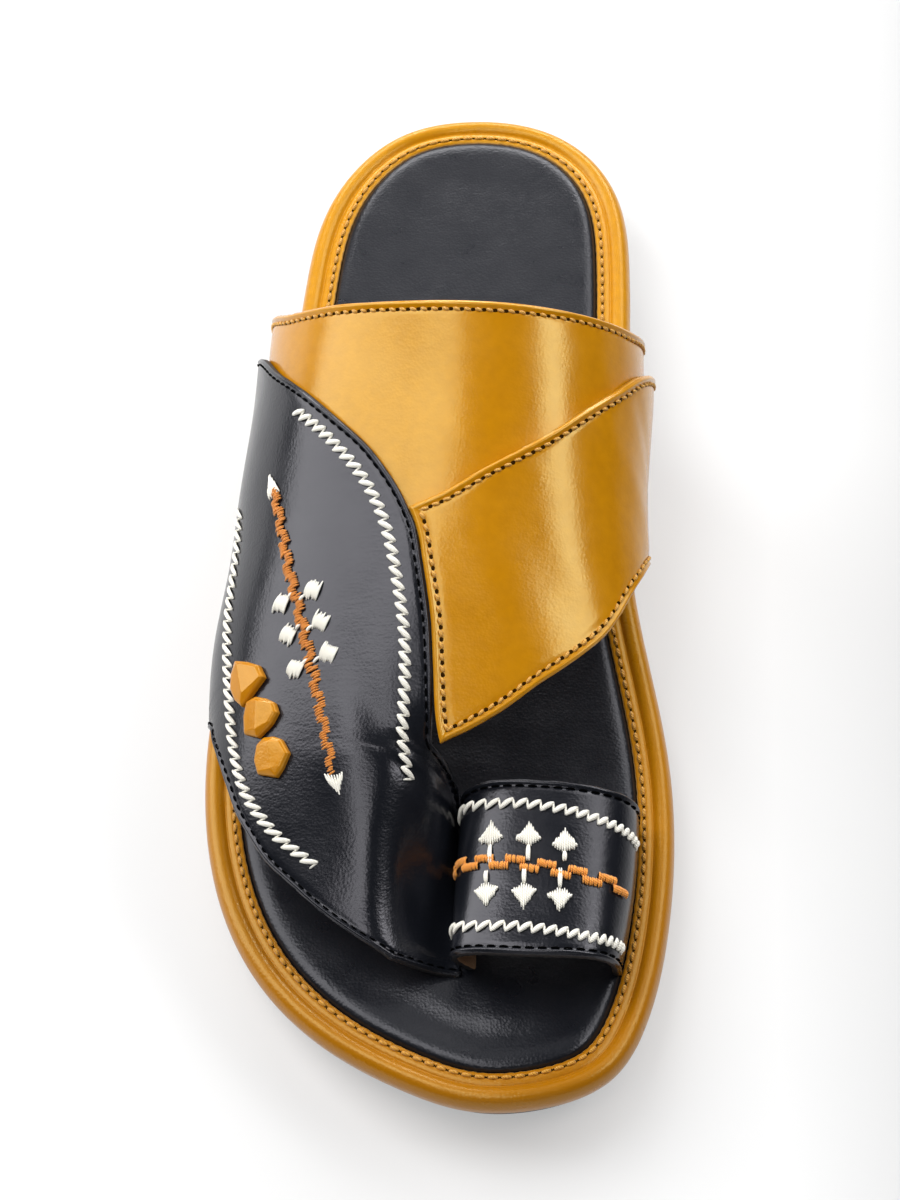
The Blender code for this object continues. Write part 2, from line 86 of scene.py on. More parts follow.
# Mesh steps
OUTLINE_POINTS = 460
CURVE_STEPS = 40
HALF_POINTS = 150
FLARE_POINTS = 30
TABLE_STEP = 1.0
TABLE_SHARES = 480
NORMAL_STEP = 0.4
LEATHER_STEP = 1.5
NEAR_EDGE = (0.0, 0.08, 0.22, 0.42, 0.68, 0.95, 1.25, 1.6, 1.95, 2.35, 2.9)
PANEL_WIDTH = 62.0
INSIDE_LINE = 20
EDGE_LINE_STEP = 0.4
SEAM_LINE_STEP = 0.3
SEAM_END_POINTS = 9
LINE_REFINE = 20
LINE_POINTS = 200
EDGE_RINGS = 56
BED_RINGS = 22
UNDER_RINGS = 3
OVER_RINGS = 16
DISTANCE_BATCH = 1500

# Outline of the wrapped edge as station and x, once round from the heel's back by the inner side
OUTLINE = (
    (0.0, 2.6), (4.4, 23.2), (14.6, 35.0), (28.0, 41.4), (48.0, 43.9), (75.0, 44.2), (110.0, 43.9),
    (140.0, 45.3), (168.0, 50.2), (192.0, 54.3), (216.0, 55.6), (240.0, 54.0), (262.0, 49.6),
    (277.5, 41.5), (285.0, 26.5), (285.6, 8.0), (280.5, -5.5), (270.0, -22.8), (256.0, -37.0),
    (238.5, -47.3), (218.0, -53.6), (196.0, -56.0), (170.0, -54.9), (140.0, -50.3), (110.0, -45.2),
    (80.0, -41.2), (54.0, -39.0), (34.6, -36.2), (16.0, -28.0), (4.4, -15.8))

# Section of the wrapped edge from its underside to the seam: inset and height over the joint
EDGE_PROFILE = (
    (4.8, 0.2), (3.6, 0.5), (2.5, 1.2), (1.3, 2.3), (0.5, 3.8), (0.08, 5.4), (0.0, 6.5), (0.25, 7.9),
    (0.85, 9.1), (1.9, 9.95), (3.1, 10.15), (4.1, 9.75), (4.65, 9.2), (4.95, 8.95), (5.3, 9.2), (6.1, 9.5),
    (7.0, 9.5), (7.7, 9.55), (8.2, 9.35), (8.4, 8.8), (8.4, 6.0))

# Section of the padded bed from the seam to its flat top: inset and height over the joint
BED_PROFILE = (
    (0.0, 6.0), (0.0, 8.2), (0.15, 9.1), (0.55, 9.9), (1.3, 10.5), (2.5, 10.9), (4.2, 11.08), (6.5, 11.1))

# Section of the rubber sole from its tread to the joint: inset, share of thickness and height added
RUBBER_PROFILE = (
    (6.4, 0.0, 0.0), (5.5, 0.0, 0.2), (5.05, 0.0, 0.9), (5.0, 0.45, 0.0), (5.25, 0.5, 0.0), (5.25, 0.56, 0.0),
    (5.0, 0.61, 0.0), (5.0, 1.0, -0.1), (5.9, 1.0, 0.15))

# The last that carries the straps, with heights over the band:
# station, top, ridge x, outer reach, outer height, inner reach, inner height
LAST = (
    (70.0, 84.0, 2.0, 5.2, 16.0, 5.5, 24.0),
    (90.0, 75.5, 4.0, 4.5, 15.0, 6.4, 25.0),
    (110.0, 68.5, 6.0, 2.8, 14.0, 6.6, 25.0),
    (130.0, 62.0, 7.0, 1.8, 13.0, 5.0, 24.0),
    (150.0, 56.0, 5.0, -0.2, 12.0, 2.8, 21.0),
    (170.0, 49.5, 0.0, -0.6, 11.0, 0.0, 18.0),
    (190.0, 42.0, -6.0, -1.8, 10.0, -2.0, 15.0),
    (210.0, 34.0, -11.0, -2.5, 9.0, -3.0, 12.0),
    (230.0, 24.5, -15.0, -2.8, 7.5, -3.0, 10.0),
    (256.0, 12.0, -14.0, -3.2, 5.0, -3.0, 8.0))
TOES_PART = (190.0, 213.0)
DIP_FLATTENS = (215.0, 248.0)

# Big toe loop: station, x of its outer shoulder, top over the band and x of the top
LOOP = ((208.0, 6.6, 24.0, 24.0), (232.0, 5.9, 22.5, 25.0), (258.0, 5.2, 19.5, 25.0))
LOOP_SHOULDER_HEIGHT = 11.0
LOOP_INNER_HEIGHT = 8.0
LOOP_INNER_REACH = 0.5

# Stations between which each form is worked out
LAST_RANGE = (66.0, 216.0)
PANEL_RANGE = (80.0, 258.0)
LOOP_RANGE = (206.0, 262.0)

# Free edges of the straps: share of girth from the outer end (0) to the inner end (1), rear edge, front edge
REAR_STRAP = (
    (0.0, 74.0, 112.0), (0.15, 84.5, 118.0), (0.25, 97.0, 132.0), (0.35, 105.0, 148.0), (0.45, 110.0, 164.0),
    (0.5, 111.0, 166.0), (0.55, 111.0, 164.0), (0.65, 108.5, 150.0), (0.75, 102.5, 136.0),
    (0.85, 93.0, 124.0), (1.0, 86.0, 116.0))
CROSS_STRAP = (
    (0.0, 157.0, 209.0), (0.1, 153.8, 205.6), (0.2, 149.0, 201.0), (0.3, 144.0, 194.5), (0.4, 138.0, 187.8),
    (0.5, 130.5, 178.8), (0.6, 121.8, 164.5), (0.7, 112.0, 154.5), (0.8, 103.5, 149.0), (1.0, 96.0, 144.0))
TOE_LOOP = (
    (0.0, 211.0, 251.0), (0.15, 211.0, 252.5), (0.3, 211.5, 255.0), (0.5, 212.5, 256.8), (0.7, 213.0, 256.3),
    (0.85, 212.0, 254.5), (1.0, 210.5, 250.5))

# Free edges of the outer panel as station and girth: the curved one over the instep, the one over the toes
PANEL_UPPER_EDGE = (
    (84.0, 10.0), (90.0, 22.5), (99.0, 36.7), (112.0, 50.2), (122.0, 60.8), (132.0, 69.9), (140.0, 76.3),
    (147.0, 80.4), (155.0, 84.3), (162.0, 86.8), (170.0, 87.4), (181.0, 86.7), (192.0, 84.3), (207.0, 80.7),
    (214.0, 80.0))
PANEL_TOE_EDGE = (
    (185.6, 0.0), (186.4, 3.6), (189.0, 11.0), (192.0, 18.5), (198.0, 21.6), (204.0, 23.8), (211.0, 25.3),
    (218.0, 25.9), (225.0, 27.3), (232.0, 28.8), (238.0, 31.6), (243.0, 33.8), (248.0, 37.1), (251.0, 39.8),
    (253.5, 44.0))
PANEL_ENDS = (84.0, 253.5)
PANEL_DIVE = (207.0, 213.0)

# Raised studs on the panel: station and girth of each, its outline about that place and its ridge's ends
STUD_SIZE = 0.95
STUDS = (
    ((189.5, 39.1),
     ((-6.5, -2.5), (-4.5, 1.5), (-2.5, 4.5), (1.0, 5.5), (4.0, 1.1), (6.5, -2.6), (4.0, -4.5),
      (0.5, -5.5), (-3.5, -4.5)),
     ((-4.6, -1.2), (3.4, -1.0))),
    ((199.4, 40.8),
     ((-4.8, -2.6), (-5.2, 0.3), (-3.8, 3.1), (-2.2, 5.1), (0.4, 5.3), (2.8, 2.9), (5.2, -1.7),
      (3.2, -5.3), (-1.2, -4.4)),
     ((-3.4, 1.0), (3.2, -1.0))),
    ((209.4, 41.0),
     ((-3.8, -2.7), (-5.0, -0.3), (-4.6, 2.3), (-3.4, 4.2), (0.2, 4.9), (3.4, 1.9), (5.2, -0.4),
      (3.4, -4.9), (-0.2, -4.7)),
     ((-3.2, 1.0), (3.0, -0.6))))

# Stud levels as size and height, the ridge's height, and its rounded edges in metres and degrees
STUD_RINGS = ((1.0, -0.1), (1.0, 1.1), (0.95, 1.6), (0.84, 1.95))
STUD_TOP = 2.45
STUD_BEVEL = 0.00042
STUD_BEVEL_ANGLE = 12.0

# Embroidery lines as station and girth
PANEL_INNER_ROW = (
    (126.0, 58.4), (134.0, 65.6), (141.5, 70.8), (149.0, 75.2), (158.0, 79.0), (166.5, 80.9), (175.5, 81.1),
    (185.0, 80.0), (194.5, 77.5), (202.5, 74.7), (207.5, 72.8), (215.5, 71.2))
PANEL_OUTER_ROW = (
    (136.5, 31.2), (147.5, 31.8), (166.5, 32.5), (180.5, 32.2), (194.0, 31.4), (205.5, 30.6), (215.0, 30.8),
    (226.0, 34.1), (234.0, 39.2))
PANEL_STEM = (
    (143.6, 49.3), (154.0, 51.8), (169.0, 55.2), (177.0, 56.3), (184.5, 56.5), (193.0, 56.4), (203.5, 55.7),
    (215.6, 53.9))
LOOP_REAR_ROW = (
    (215.2, 13.0), (216.2, 19.1), (217.5, 25.6), (218.2, 30.2), (218.8, 37.7), (220.4, 47.4), (222.0, 55.6),
    (223.0, 67.3))
LOOP_FRONT_ROW = (
    (245.6, 12.0), (246.6, 17.0), (248.2, 22.4), (249.2, 27.4), (250.2, 38.0), (251.4, 47.9), (251.6, 53.6),
    (250.4, 63.2))
LOOP_STEM = ((229.4, 12.0), (232.4, 24.6), (234.2, 37.0), (236.2, 47.0), (237.2, 56.0), (236.8, 65.0))
LOOP_SPADES = ((226.8, 29.0), (227.5, 37.7), (229.0, 45.9), (240.4, 28.2), (241.2, 36.9), (242.2, 45.0))
LOOP_LEVEL = 234.4
LOOP_LEVEL_GIRTHS = (12.0, 68.0)
TOWARDS_TOE = (8.0, 0.0)

# Zigzag rows: widths and leans run from a row's start to its end; strokes have height, arch and flatness
PANEL_INNER_ZIGZAG = {"pitch": 2.95, "widths": (-2.6, -2.6), "leans": (1.0, 1.12), "radius": 0.68}
PANEL_OUTER_ZIGZAG = {"pitch": 3.1, "widths": (-4.6, -2.3), "leans": (1.8, 1.25), "radius": 0.62,
                      "tighten": 0.075}
LOOP_ZIGZAG = {"pitch": 2.8, "widths": (-2.6, -2.6), "leans": (0.85, 0.85), "radius": 0.7, "tighten": 0.45}
ZIGZAG_RISE = (0.14, 0.36, 0.7)
ZIGZAG_RETURN = (0.0, 0.08)
RETURN_SHARE = 0.42

# Satin blocks: distance between threads and their unevenness, then size and place of each block
STEM_BLOCKS = {"spacing": 0.58, "sway": 0.14, "block": 3.1, "overlap": 0.3, "shift": 0.5, "width": 2.2,
               "slant": 0.2}
LOOP_BLOCKS = {"spacing": 0.5, "sway": 0.07, "block": 3.6, "overlap": 0.45, "shift": 0.9, "width": 2.0,
               "slant": 0.1}

# Diamonds on both sides of the stem, tips at its ends, and spades on the loop
DIAMOND_SIDES = (
    {"runs": (30.9, 38.9, 46.9), "across": -4.6, "tie": ((1.2, -0.6), (0.2, -2.4))},
    {"runs": (30.1, 38.7, 47.6), "across": 4.1, "tie": ((-1.0, 0.5), (-0.2, 1.8))})
DIAMOND = {"half": 2.1, "turn": 40.0, "stack": 0.8, "count": 8, "sway": 0.14}
REAR_TIP = {"length": -6.6, "half_width": 1.8, "count": 6}
FRONT_TIP = {"length": 6.5, "half_width": 2.2, "count": 7}
TIP_INSET = 0.6
TIP_NARROWING = 0.5
SPADE = {"point": 4.2, "tail": 2.2, "half_width": 2.95, "count": 11, "sway": 0.2}
SPADE_SPREAD = 0.92
SPADE_ROUNDING = 0.6
SPADE_CLOSING = 0.86
SPADE_TIE = {"start": 0.9, "past": 2.0, "foot": (-0.25, 0.25), "head": (-0.2, 0.2)}

# Embroidery threads: radius, height over the leather and arch of a stroke
SATIN_THREAD = (0.29, 0.2, 0.5)
DIAMOND_THREAD = (0.31, 0.2, 0.4)
DIAMOND_TIE_THREAD = (0.4, 0.35, 0.35)
TIP_THREAD = (0.33, 0.25, 0.4)
SPADE_THREAD = (0.3, 0.2, 0.35)
SPADE_TIE_THREAD = (0.32, 0.4, 0.35)
THREAD_SIDES = 6
STROKE_POINTS = 7
STROKE_END = 0.45
STROKE_SWELL = 0.7

# One stitch as share of its length, share of its radius and height
STITCH_SHAPE = np.array([
    (-0.5, 0.35, -0.3), (-0.44, 0.75, -0.08), (-0.25, 1.0, 0.08), (0.0, 1.05, 0.13), (0.25, 1.0, 0.08),
    (0.44, 0.75, -0.08), (0.5, 0.35, -0.3)])

# Stitch rows: distance from the edge and between stitches, their length, radius and slant, and what is
# trimmed off the row's start and end; lifts are heights over the leather
STRAP_STITCH = {"across": 2.1, "pitch": 2.7, "length": 1.5, "radius": 0.38, "slant": 0.5}
PANEL_UPPER_STITCH = {"across": 1.45, "pitch": 2.85, "length": 2.0, "radius": 0.21, "trim": (3.0, 4.0)}
PANEL_TOE_STITCH = {"across": 1.45, "pitch": 2.6, "length": 1.8, "radius": 0.17, "trim": (8.0, 5.0)}
LOOP_STITCH = {"across": 1.7, "pitch": 2.9, "length": 2.1, "radius": 0.23, "trim": (5.0, 5.0)}
REAR_TRIM = (4.0, 4.0)
CROSS_TRIMS = ((2.0, 4.0), (2.0, 4.0), (2.0, 2.0))
CROSS_LIFT = 0.02
SUNK_LIFT = -0.02

# Stitches round the band: inset, pitch, share of the pitch, radius, height and place of the two holes
BAND_STITCH_INSET = 7.0
BAND_PITCH = 3.0
BAND_STITCH_SHARE = 0.7
BAND_STITCH_RADIUS = 0.46
BAND_STITCH_LIFT = 0.1
BAND_HOLE_OFFSETS = (-0.11, 0.11)
BAND_HOLE_LIFT = 0.02

# Stitch holes, as dark domes of painted shade: radius in each row, depth under the thread, and a dome as
# share of radius and height
STRAP_HOLE = 0.62
BAND_HOLE = 0.42
HOLE_DEPTH = 0.12
HOLE_DOME = ((1.0, -0.12), (0.95, 0.0), (0.6, 0.056), (0.15, 0.07))

# Creases and swells: station and girth of the middle, turn in degrees from the foot's length,
# half length, half width and height; the bed's have x in place of the girth
PANEL_CREASES = (
    (218.0, 57.0, -10.0, 28.0, 8.0, 0.85),
    (206.0, 68.0, 8.0, 16.0, 4.0, -0.35),
    (211.0, 77.0, 58.0, 6.0, 1.5, 0.42),
    (214.0, 73.5, 66.0, 6.5, 1.4, -0.36),
    (217.0, 78.5, 60.0, 5.5, 1.3, 0.34),
    (209.0, 74.0, 82.0, 6.0, 0.9, 0.26),
    (212.0, 74.5, 76.0, 7.0, 0.9, 0.3),
    (219.5, 73.0, 70.0, 5.0, 1.0, 0.26),
    (232.0, 66.0, -24.0, 12.0, 3.0, -0.3),
    (238.0, 56.0, -30.0, 9.0, 2.4, 0.28),
    (120.0, 24.0, 4.0, 24.0, 6.0, -0.25),
    (160.0, 14.0, 0.0, 26.0, 5.0, 0.3),
    (196.0, 47.0, 0.0, 14.0, 6.0, -0.22))
REAR_CREASES = (
    (124.0, 70.0, 60.0, 30.0, 9.0, 0.3),
    (128.0, 112.0, 92.0, 26.0, 8.0, -0.25),
    (118.0, 142.0, 70.0, 16.0, 5.0, 0.22),
    (100.0, 24.0, 20.0, 16.0, 6.0, -0.3))
CROSS_CREASES = (
    (172.0, 104.0, 12.0, 26.0, 7.0, 0.35),
    (176.0, 120.0, 24.0, 20.0, 6.0, -0.25),
    (140.0, 148.0, 50.0, 18.0, 5.0, 0.3),
    (126.0, 160.0, 40.0, 12.0, 3.0, -0.28))
LOOP_CREASES = (
    (234.0, 16.0, 0.0, 18.0, 2.2, 0.25),
    (236.0, 60.0, 4.0, 16.0, 4.0, -0.22))
BED_CREASES = (
    (236.0, 5.5, 8.0, 24.0, 5.0, -1.1),
    (259.0, 13.0, 28.0, 24.0, 15.0, 1.5),
    (262.0, -16.0, 52.0, 16.0, 3.0, 0.3),
    (271.0, 20.0, 74.0, 9.0, 0.7, 0.22),
    (273.0, 21.0, 80.0, 8.0, 0.6, -0.2),
    (268.0, 4.0, 84.0, 18.0, 4.0, -0.3),
    (252.0, -26.0, 38.0, 12.0, 2.6, -0.28),
    (205.0, 30.0, 24.0, 22.0, 4.0, 0.3),
    (196.0, 38.0, 12.0, 18.0, 3.0, -0.28),
    (190.0, 8.0, 70.0, 20.0, 5.0, -0.25),
    (40.0, 2.0, 0.0, 26.0, 18.0, -0.5))

# Build of each leather wall: its outer face over the form, thickness, roll at the edge and stitch line
REAR_BUILD = {"base": -UNDER_DEPTH, "wall": WALL, "roll": 0.38, "stitch": 2.1, "creases": REAR_CREASES}
CROSS_BUILD = {"base": 0.0, "wall": CROSS_WALL, "roll": 0.34, "stitch": 2.1, "creases": CROSS_CREASES}
PANEL_BUILD = {"base": 0.0, "wall": WALL, "roll": 0.26, "stitch": 1.45, "creases": PANEL_CREASES}
LOOP_BUILD = {"base": 0.0, "wall": WALL, "roll": 0.42, "stitch": 1.7, "creases": LOOP_CREASES}

# Colours: red, green, blue
MUSTARD = (0.57, 0.235, 0.001)
MUSTARD_DEEP = (0.37, 0.134, 0.001)
EDGE_MUSTARD = (0.6, 0.255, 0.001)
STUD_MUSTARD = (0.56, 0.21, 0.004)
MUSTARD_THREAD = (0.78, 0.42, 0.06)
BAND_THREAD = (0.68, 0.33, 0.02)
BLACK = (0.005, 0.006, 0.009)
BLACK_SOFT = (0.008, 0.009, 0.012)
BLACK_WORN = (0.05, 0.05, 0.055)
RAW = (0.6, 0.33, 0.1)
RAW_DEEP = (0.34, 0.16, 0.04)
RAW_BLACK = (0.028, 0.025, 0.024)
RUBBER = (0.014, 0.014, 0.015)
DUST = (0.05, 0.048, 0.045)
TAN = (0.33, 0.19, 0.1)
TAN_DEEP = (0.2, 0.11, 0.06)
CREAM = (0.97, 0.95, 0.87)
CREAM_DEEP = (0.82, 0.76, 0.62)
ORANGE = (0.95, 0.37, 0.035)
ORANGE_DEEP = (0.6, 0.18, 0.02)
STEM_ORANGE = (0.8, 0.28, 0.02)
STEM_DEEP = (0.3, 0.08, 0.006)
# Painted shade for the dark insides of the stitch holes
PAINTED_HOLE_SHADE = (0.03, 0.012, 0.002)
INK = (0.002, 0.002, 0.002)
FLOOR = (0.46, 0.46, 0.46)
PAINTED_FLOOR_SHADOW = (0.2, 0.2, 0.2)
WHITE = (1.0, 1.0, 1.0)
SKY = (0.95, 0.97, 1.0)

# Shine of a leather: specular level and its tint
WHITE_SHINE = (0.5, WHITE)
GOLD_SHINE = (0.8, (1.0, 0.95, 0.45))
EDGE_SHINE = (0.62, (1.0, 0.9, 0.4))
BLUE_SHINE = (0.5, (0.95, 0.93, 1.0))
BED_SHINE = (0.4, (0.95, 0.94, 1.0))

# Leathers: colour and its deeper tone, roughness, strength of the grain's three layers, shine, worn edges and
# the strength of painted shade towards the toe
GRAIN_LAYERS = ("Pores", "Brush", "Waves")
LEATHERS = {
    "strap": {"name": "mustard_strap", "colour": MUSTARD, "deep": MUSTARD_DEEP, "roughness": 0.22,
              "grain": (0.1, 0.06, 0.03), "shine": GOLD_SHINE, "worn": (0.7, 0.4, 0.06), "wear": 0.4},
    "edge": {"name": "mustard_edge", "colour": EDGE_MUSTARD, "deep": MUSTARD_DEEP, "roughness": 0.3,
             "grain": (0.2, 0.06, 0.05), "shine": EDGE_SHINE, "worn": (0.72, 0.42, 0.08), "wear": 0.45,
             "toe_shade": 0.95},
    "stud": {"name": "mustard_stud", "colour": STUD_MUSTARD, "deep": MUSTARD_DEEP, "roughness": 0.23,
             "grain": (0.1, 0.03, 0.08), "shine": EDGE_SHINE, "worn": (0.78, 0.46, 0.1), "wear": 0.5},
    "black": {"name": "black_upper", "colour": BLACK, "deep": BLACK_SOFT, "roughness": 0.23,
              "grain": (0.12, 0.12, 0.03), "shine": BLUE_SHINE, "worn": BLACK_WORN, "wear": 0.4},
    "loop": {"name": "black_loop", "colour": BLACK, "deep": BLACK_SOFT, "roughness": 0.24,
             "grain": (0.12, 0.1, 0.06), "shine": BLUE_SHINE, "worn": BLACK_WORN, "wear": 0.4},
    "bed": {"name": "black_bed", "colour": BLACK, "deep": BLACK_SOFT, "roughness": 0.3,
            "grain": (0.22, 0.1, 0.05), "shine": BED_SHINE, "worn": (0.03, 0.03, 0.034), "wear": 0.3},
    "lining": {"name": "tan_lining", "colour": TAN, "deep": TAN_DEEP, "roughness": 0.7,
               "grain": (0.4, 0.1, 0.1)},
    "raw": {"name": "raw_edge", "colour": RAW, "deep": RAW_DEEP, "roughness": 0.7, "grain": (0.5, 0.3, 0.1)},
    "dark_raw": {"name": "dark_raw_edge", "colour": RAW_BLACK, "deep": BLACK, "roughness": 0.7,
                 "grain": (0.4, 0.2, 0.1)}}

# Threads: colour, its deeper tone and roughness
THREADS = {
    "cream": {"name": "cream_thread", "colour": CREAM, "deep": CREAM_DEEP, "roughness": 0.62},
    "orange": {"name": "orange_thread", "colour": ORANGE, "deep": ORANGE_DEEP, "roughness": 0.62},
    "stem": {"name": "stem_thread", "colour": STEM_ORANGE, "deep": STEM_DEEP, "roughness": 0.62},
    "gold": {"name": "mustard_thread", "colour": MUSTARD_THREAD, "deep": MUSTARD_DEEP, "roughness": 0.55},
    "band": {"name": "band_thread", "colour": BAND_THREAD, "deep": MUSTARD_DEEP, "roughness": 0.55}}
TWIST_SHARE = 0.55
THREAD_SHEEN = 0.25

# Noise: scale, detail and roughness
BRUSH_NOISE = (1100.0, 3.0, 0.6)
WAVES_NOISE = (70.0, 3.0, 0.55)
PATCHES_NOISE = (34.0, 5.0, 0.6)
MOTTLING_NOISE = (420.0, 3.0, 0.5)
POLISH_NOISE = (120.0, 4.0, 0.5)
WEAR_NOISE = (260.0, 4.0, 0.6)
PITS_NOISE = (900.0, 4.0, 0.5)
DUST_NOISE = (60.0, 4.0, 0.5)

# Ranges: least and most taken in, least and most given out
PATCHES_RANGE = (0.32, 0.68, 0.0, 0.22)
MOTTLING_RANGE = (0.3, 0.7, 0.0, 0.25)
# Painted shade on faces that point down: from how far a face points up to the share of the deeper tone
PAINTED_UNDER_SHADE_RANGE = (0.4, -0.4, 0.0, 0.8)
POLISH_RANGE = (0.3, 0.7, 0.0, 1.0)
BEND_RANGE = (0.515, 0.6, 0.0, 1.0)
BROKEN_RANGE = (0.35, 0.7, 0.2, 1.0)
TREAD_RANGE = (-0.6, -0.9, 0.0, 1.0)
DUST_RANGE = (0.45, 0.75, 0.0, 0.4)

# Fine patterns: scales, the brushed run's stretch, and depths in metres
PORE_SCALE = 1500.0
BRUSH_STRETCH = (0.18, 1.0, 1.0)
GRAIN_DEPTHS = (0.0002, 0.0003, 0.004)
TWIST_SCALE = 900.0
TWIST_DISTORTION = 1.5
TWIST_DEPTH = 0.0002
RIB_SCALE = 90.0
RIB_DISTORTION = 0.6
RIB_DEPTH = 0.0012
PIT_STRENGTH = 0.25
PIT_DEPTH = 0.0003

# Roughness of the finishes other than leather and thread
MATT_ROUGHNESS = 0.9
RUBBER_ROUGHNESS = 0.62
FLOOR_ROUGHNESS = 0.85

# Painted shade on the wrapped edge: where it starts to darken towards the toe and is darkest, in metres along
# the foot
PAINTED_TOE_SHADE_REACH = (0.08, -0.11)

# Polish of a leather: least and most share of its roughness
POLISH_SHARES = (0.88, 1.14)

# Floor: size and the place of its painted shadow in metres, and its glow outside and inside that painted
# shadow
FLOOR_REACH = 4.0
FLOOR_SHADE = (0.08, 0.2)
FLOOR_GLOW = (0.4, 0.06)
SKY_STRENGTH = 0.04

# Soft boxes in metres and watts: name, place, aim, size and power
SHOE_MIDDLE = (0.0, 0.0, 0.03)
SHEEN_AIM = (0.0, -0.1, 0.02)
SOFT_BOXES = (
    ("left_box", (-0.98, 0.4, 0.82), SHOE_MIDDLE, (0.9, 1.35), 16.2),
    ("top_box", (-0.33, 0.05, 1.22), SHOE_MIDDLE, (0.65, 0.5), 4.3),
    ("front_top_box", (-0.12, -0.55, 1.15), SHOE_MIDDLE, (0.55, 0.42), 2.7),
    ("right_strip", (0.88, 0.06, 0.9), SHOE_MIDDLE, (0.6, 0.34), 4.2),
    ("back_right_box", (0.75, 0.8, 0.95), SHOE_MIDDLE, (0.8, 0.8), 6.4),
    ("back_box", (0.0, 1.25, 0.58), SHOE_MIDDLE, (1.3, 0.4), 14.0),
    ("sheen_box", (-0.05, 0.52, 0.72), SHEEN_AIM, (0.3, 0.22), 0.34),
    ("front_box", (0.1, -1.3, 0.5), SHOE_MIDDLE, (1.2, 0.5), 0.9))

# Camera at the photo's place, turned to the shoe
CAMERA_PLACE = (57.9, -522.0, 792.0)
PHOTO_AIM = (57.9, 2.0, 0.0)
CAMERA_AIM = (1.0, -3.0, 14.0)
CAMERA_LENS = 115.0
CAMERA_SENSOR = 36.0


def ease(start, end, value):
    """Smooth step from 0 to 1."""
    t = np.clip((np.asarray(value, float) - start) / (end - start), 0.0, 1.0)
    return t * t * (3.0 - 2.0 * t)


def hermite(t, step, p0, p1, m0, m1):
    """Cubic between two values with given slopes."""
    rise = 3.0 * t**2 - 2.0 * t**3
    return (1.0 - rise) * p0 + rise * p1 + step * ((t**3 - 2.0 * t**2 + t) * m0 + (t**3 - t**2) * m1)


def unit(vectors):
    """Vectors of length one."""
    return vectors / np.maximum(np.linalg.norm(vectors, axis=-1, keepdims=True), 1e-9)


def closed_curve(points, steps):
    """Smooth closed curve through the points."""
    p = np.asarray(points, float)
    count = len(p)
    after = np.roll(p, -1, axis=0)
    step = np.linalg.norm(after - p, axis=1)
    matrix = np.zeros((count, count))
    right = np.zeros_like(p)
    for i in range(count):
        j = (i + 1) % count
        matrix[i, i - 1] = step[i]
        matrix[i, i] = 2.0 * (step[i - 1] + step[i])
        matrix[i, j] = step[i - 1]
        back = (p[i] - p[i - 1]) / step[i - 1]
        ahead = (p[j] - p[i]) / step[i]
        right[i] = 3.0 * (step[i] * back + step[i - 1] * ahead)
    slope = np.linalg.solve(matrix, right)
    curve = []
    for i in range(count):
        j = (i + 1) % count
        for t in np.arange(steps) / steps:
            curve.append(hermite(t, step[i], p[i], p[j], slope[i], slope[j]))
    return np.array(curve)


def table_row(table, key):
    """Values of a table at one key or many, smooth between its rows."""
    t = np.asarray(table, float)
    keys, values = t[:, 0], t[:, 1:]
    gaps = np.diff(keys)
    rates = np.diff(values, axis=0) / gaps[:, None]
    slopes = np.empty_like(values)
    slopes[0], slopes[-1] = rates[0], rates[-1]
    weights = gaps[:-1, None] + gaps[1:, None]
    slopes[1:-1] = (rates[:-1] * gaps[1:, None] + rates[1:] * gaps[:-1, None]) / weights
    key = np.clip(np.asarray(key, float), keys[0], keys[-1])
    i = np.clip(np.searchsorted(keys, key, side="right") - 1, 0, len(gaps) - 1)
    share = ((key - keys[i]) / gaps[i])[..., None]
    return hermite(share, gaps[i][..., None], values[i], values[i + 1], slopes[i], slopes[i + 1])


def along(points):
    """Distance along a polyline at each of its points."""
    return np.concatenate([[0.0], np.cumsum(np.linalg.norm(np.diff(points, axis=0), axis=1))])


def resample(points, count):
    """The same polyline with evenly spaced points."""
    distance = along(points)
    even = np.linspace(0.0, distance[-1], count)
    return np.stack([np.interp(even, distance, column) for column in points.T], axis=1)


def inward(curve):
    """Unit vectors into a closed outline."""
    tangent = np.roll(curve, -1, axis=0) - np.roll(curve, 1, axis=0)
    tangent /= np.linalg.norm(tangent, axis=1)[:, None]
    return np.stack([tangent[:, 1], -tangent[:, 0]], axis=1)


# Outline of the sole
FINE_OUTLINE = closed_curve(OUTLINE, CURVE_STEPS)
RING = resample(np.vstack([FINE_OUTLINE, FINE_OUTLINE[:1]]), OUTLINE_POINTS + 1)[:-1]
X_MIDDLE = (FINE_OUTLINE[:, 1].min() + FINE_OUTLINE[:, 1].max()) / 2.0
STATION_MIDDLE = (FINE_OUTLINE[:, 0].min() + FINE_OUTLINE[:, 0].max()) / 2.0


def sides(inset):
    """Outer and inner half of the outline, moved inwards, sorted by station."""
    curve = FINE_OUTLINE + inset * inward(FINE_OUTLINE)
    curve = np.roll(curve, -int(np.argmin(curve[:, 0])), axis=0)
    toe = int(np.argmax(curve[:, 0]))
    return np.vstack([curve[toe:], curve[:1]])[::-1], curve[:toe + 1]


EDGE_SIDES = sides(0.0)
ROOT_SIDES = sides(ROOT_INSET)


def side_x(half, station):
    """x of one half of an outline at a station."""
    return np.interp(station, half[:, 0], half[:, 1])


def toe_spring(station):
    """Rise of the toe off the floor."""
    share = np.clip((np.asarray(station, float) - SPRING_START) / (LENGTH - SPRING_START), 0.0, 1.0)
    return TOE_SPRING * share**2


def joint_height(station):
    """Top of the outsole."""
    return OUTSOLE_THICK + HEEL_RISE * (1.0 - ease(RISE_FULL, RISE_GONE, station)) + toe_spring(station)


def tread_height(station):
    """Underside of the outsole: heel and forefoot on the floor, arch and toe clear of it."""
    arch = ARCH_CLEAR * (ease(*HEEL_BREAST, station) - ease(*ARCH_END, station))
    return arch + toe_spring(station)


def band_height(station):
    """Flat stitched band of the wrapped edge."""
    return joint_height(station) + BAND_HEIGHT


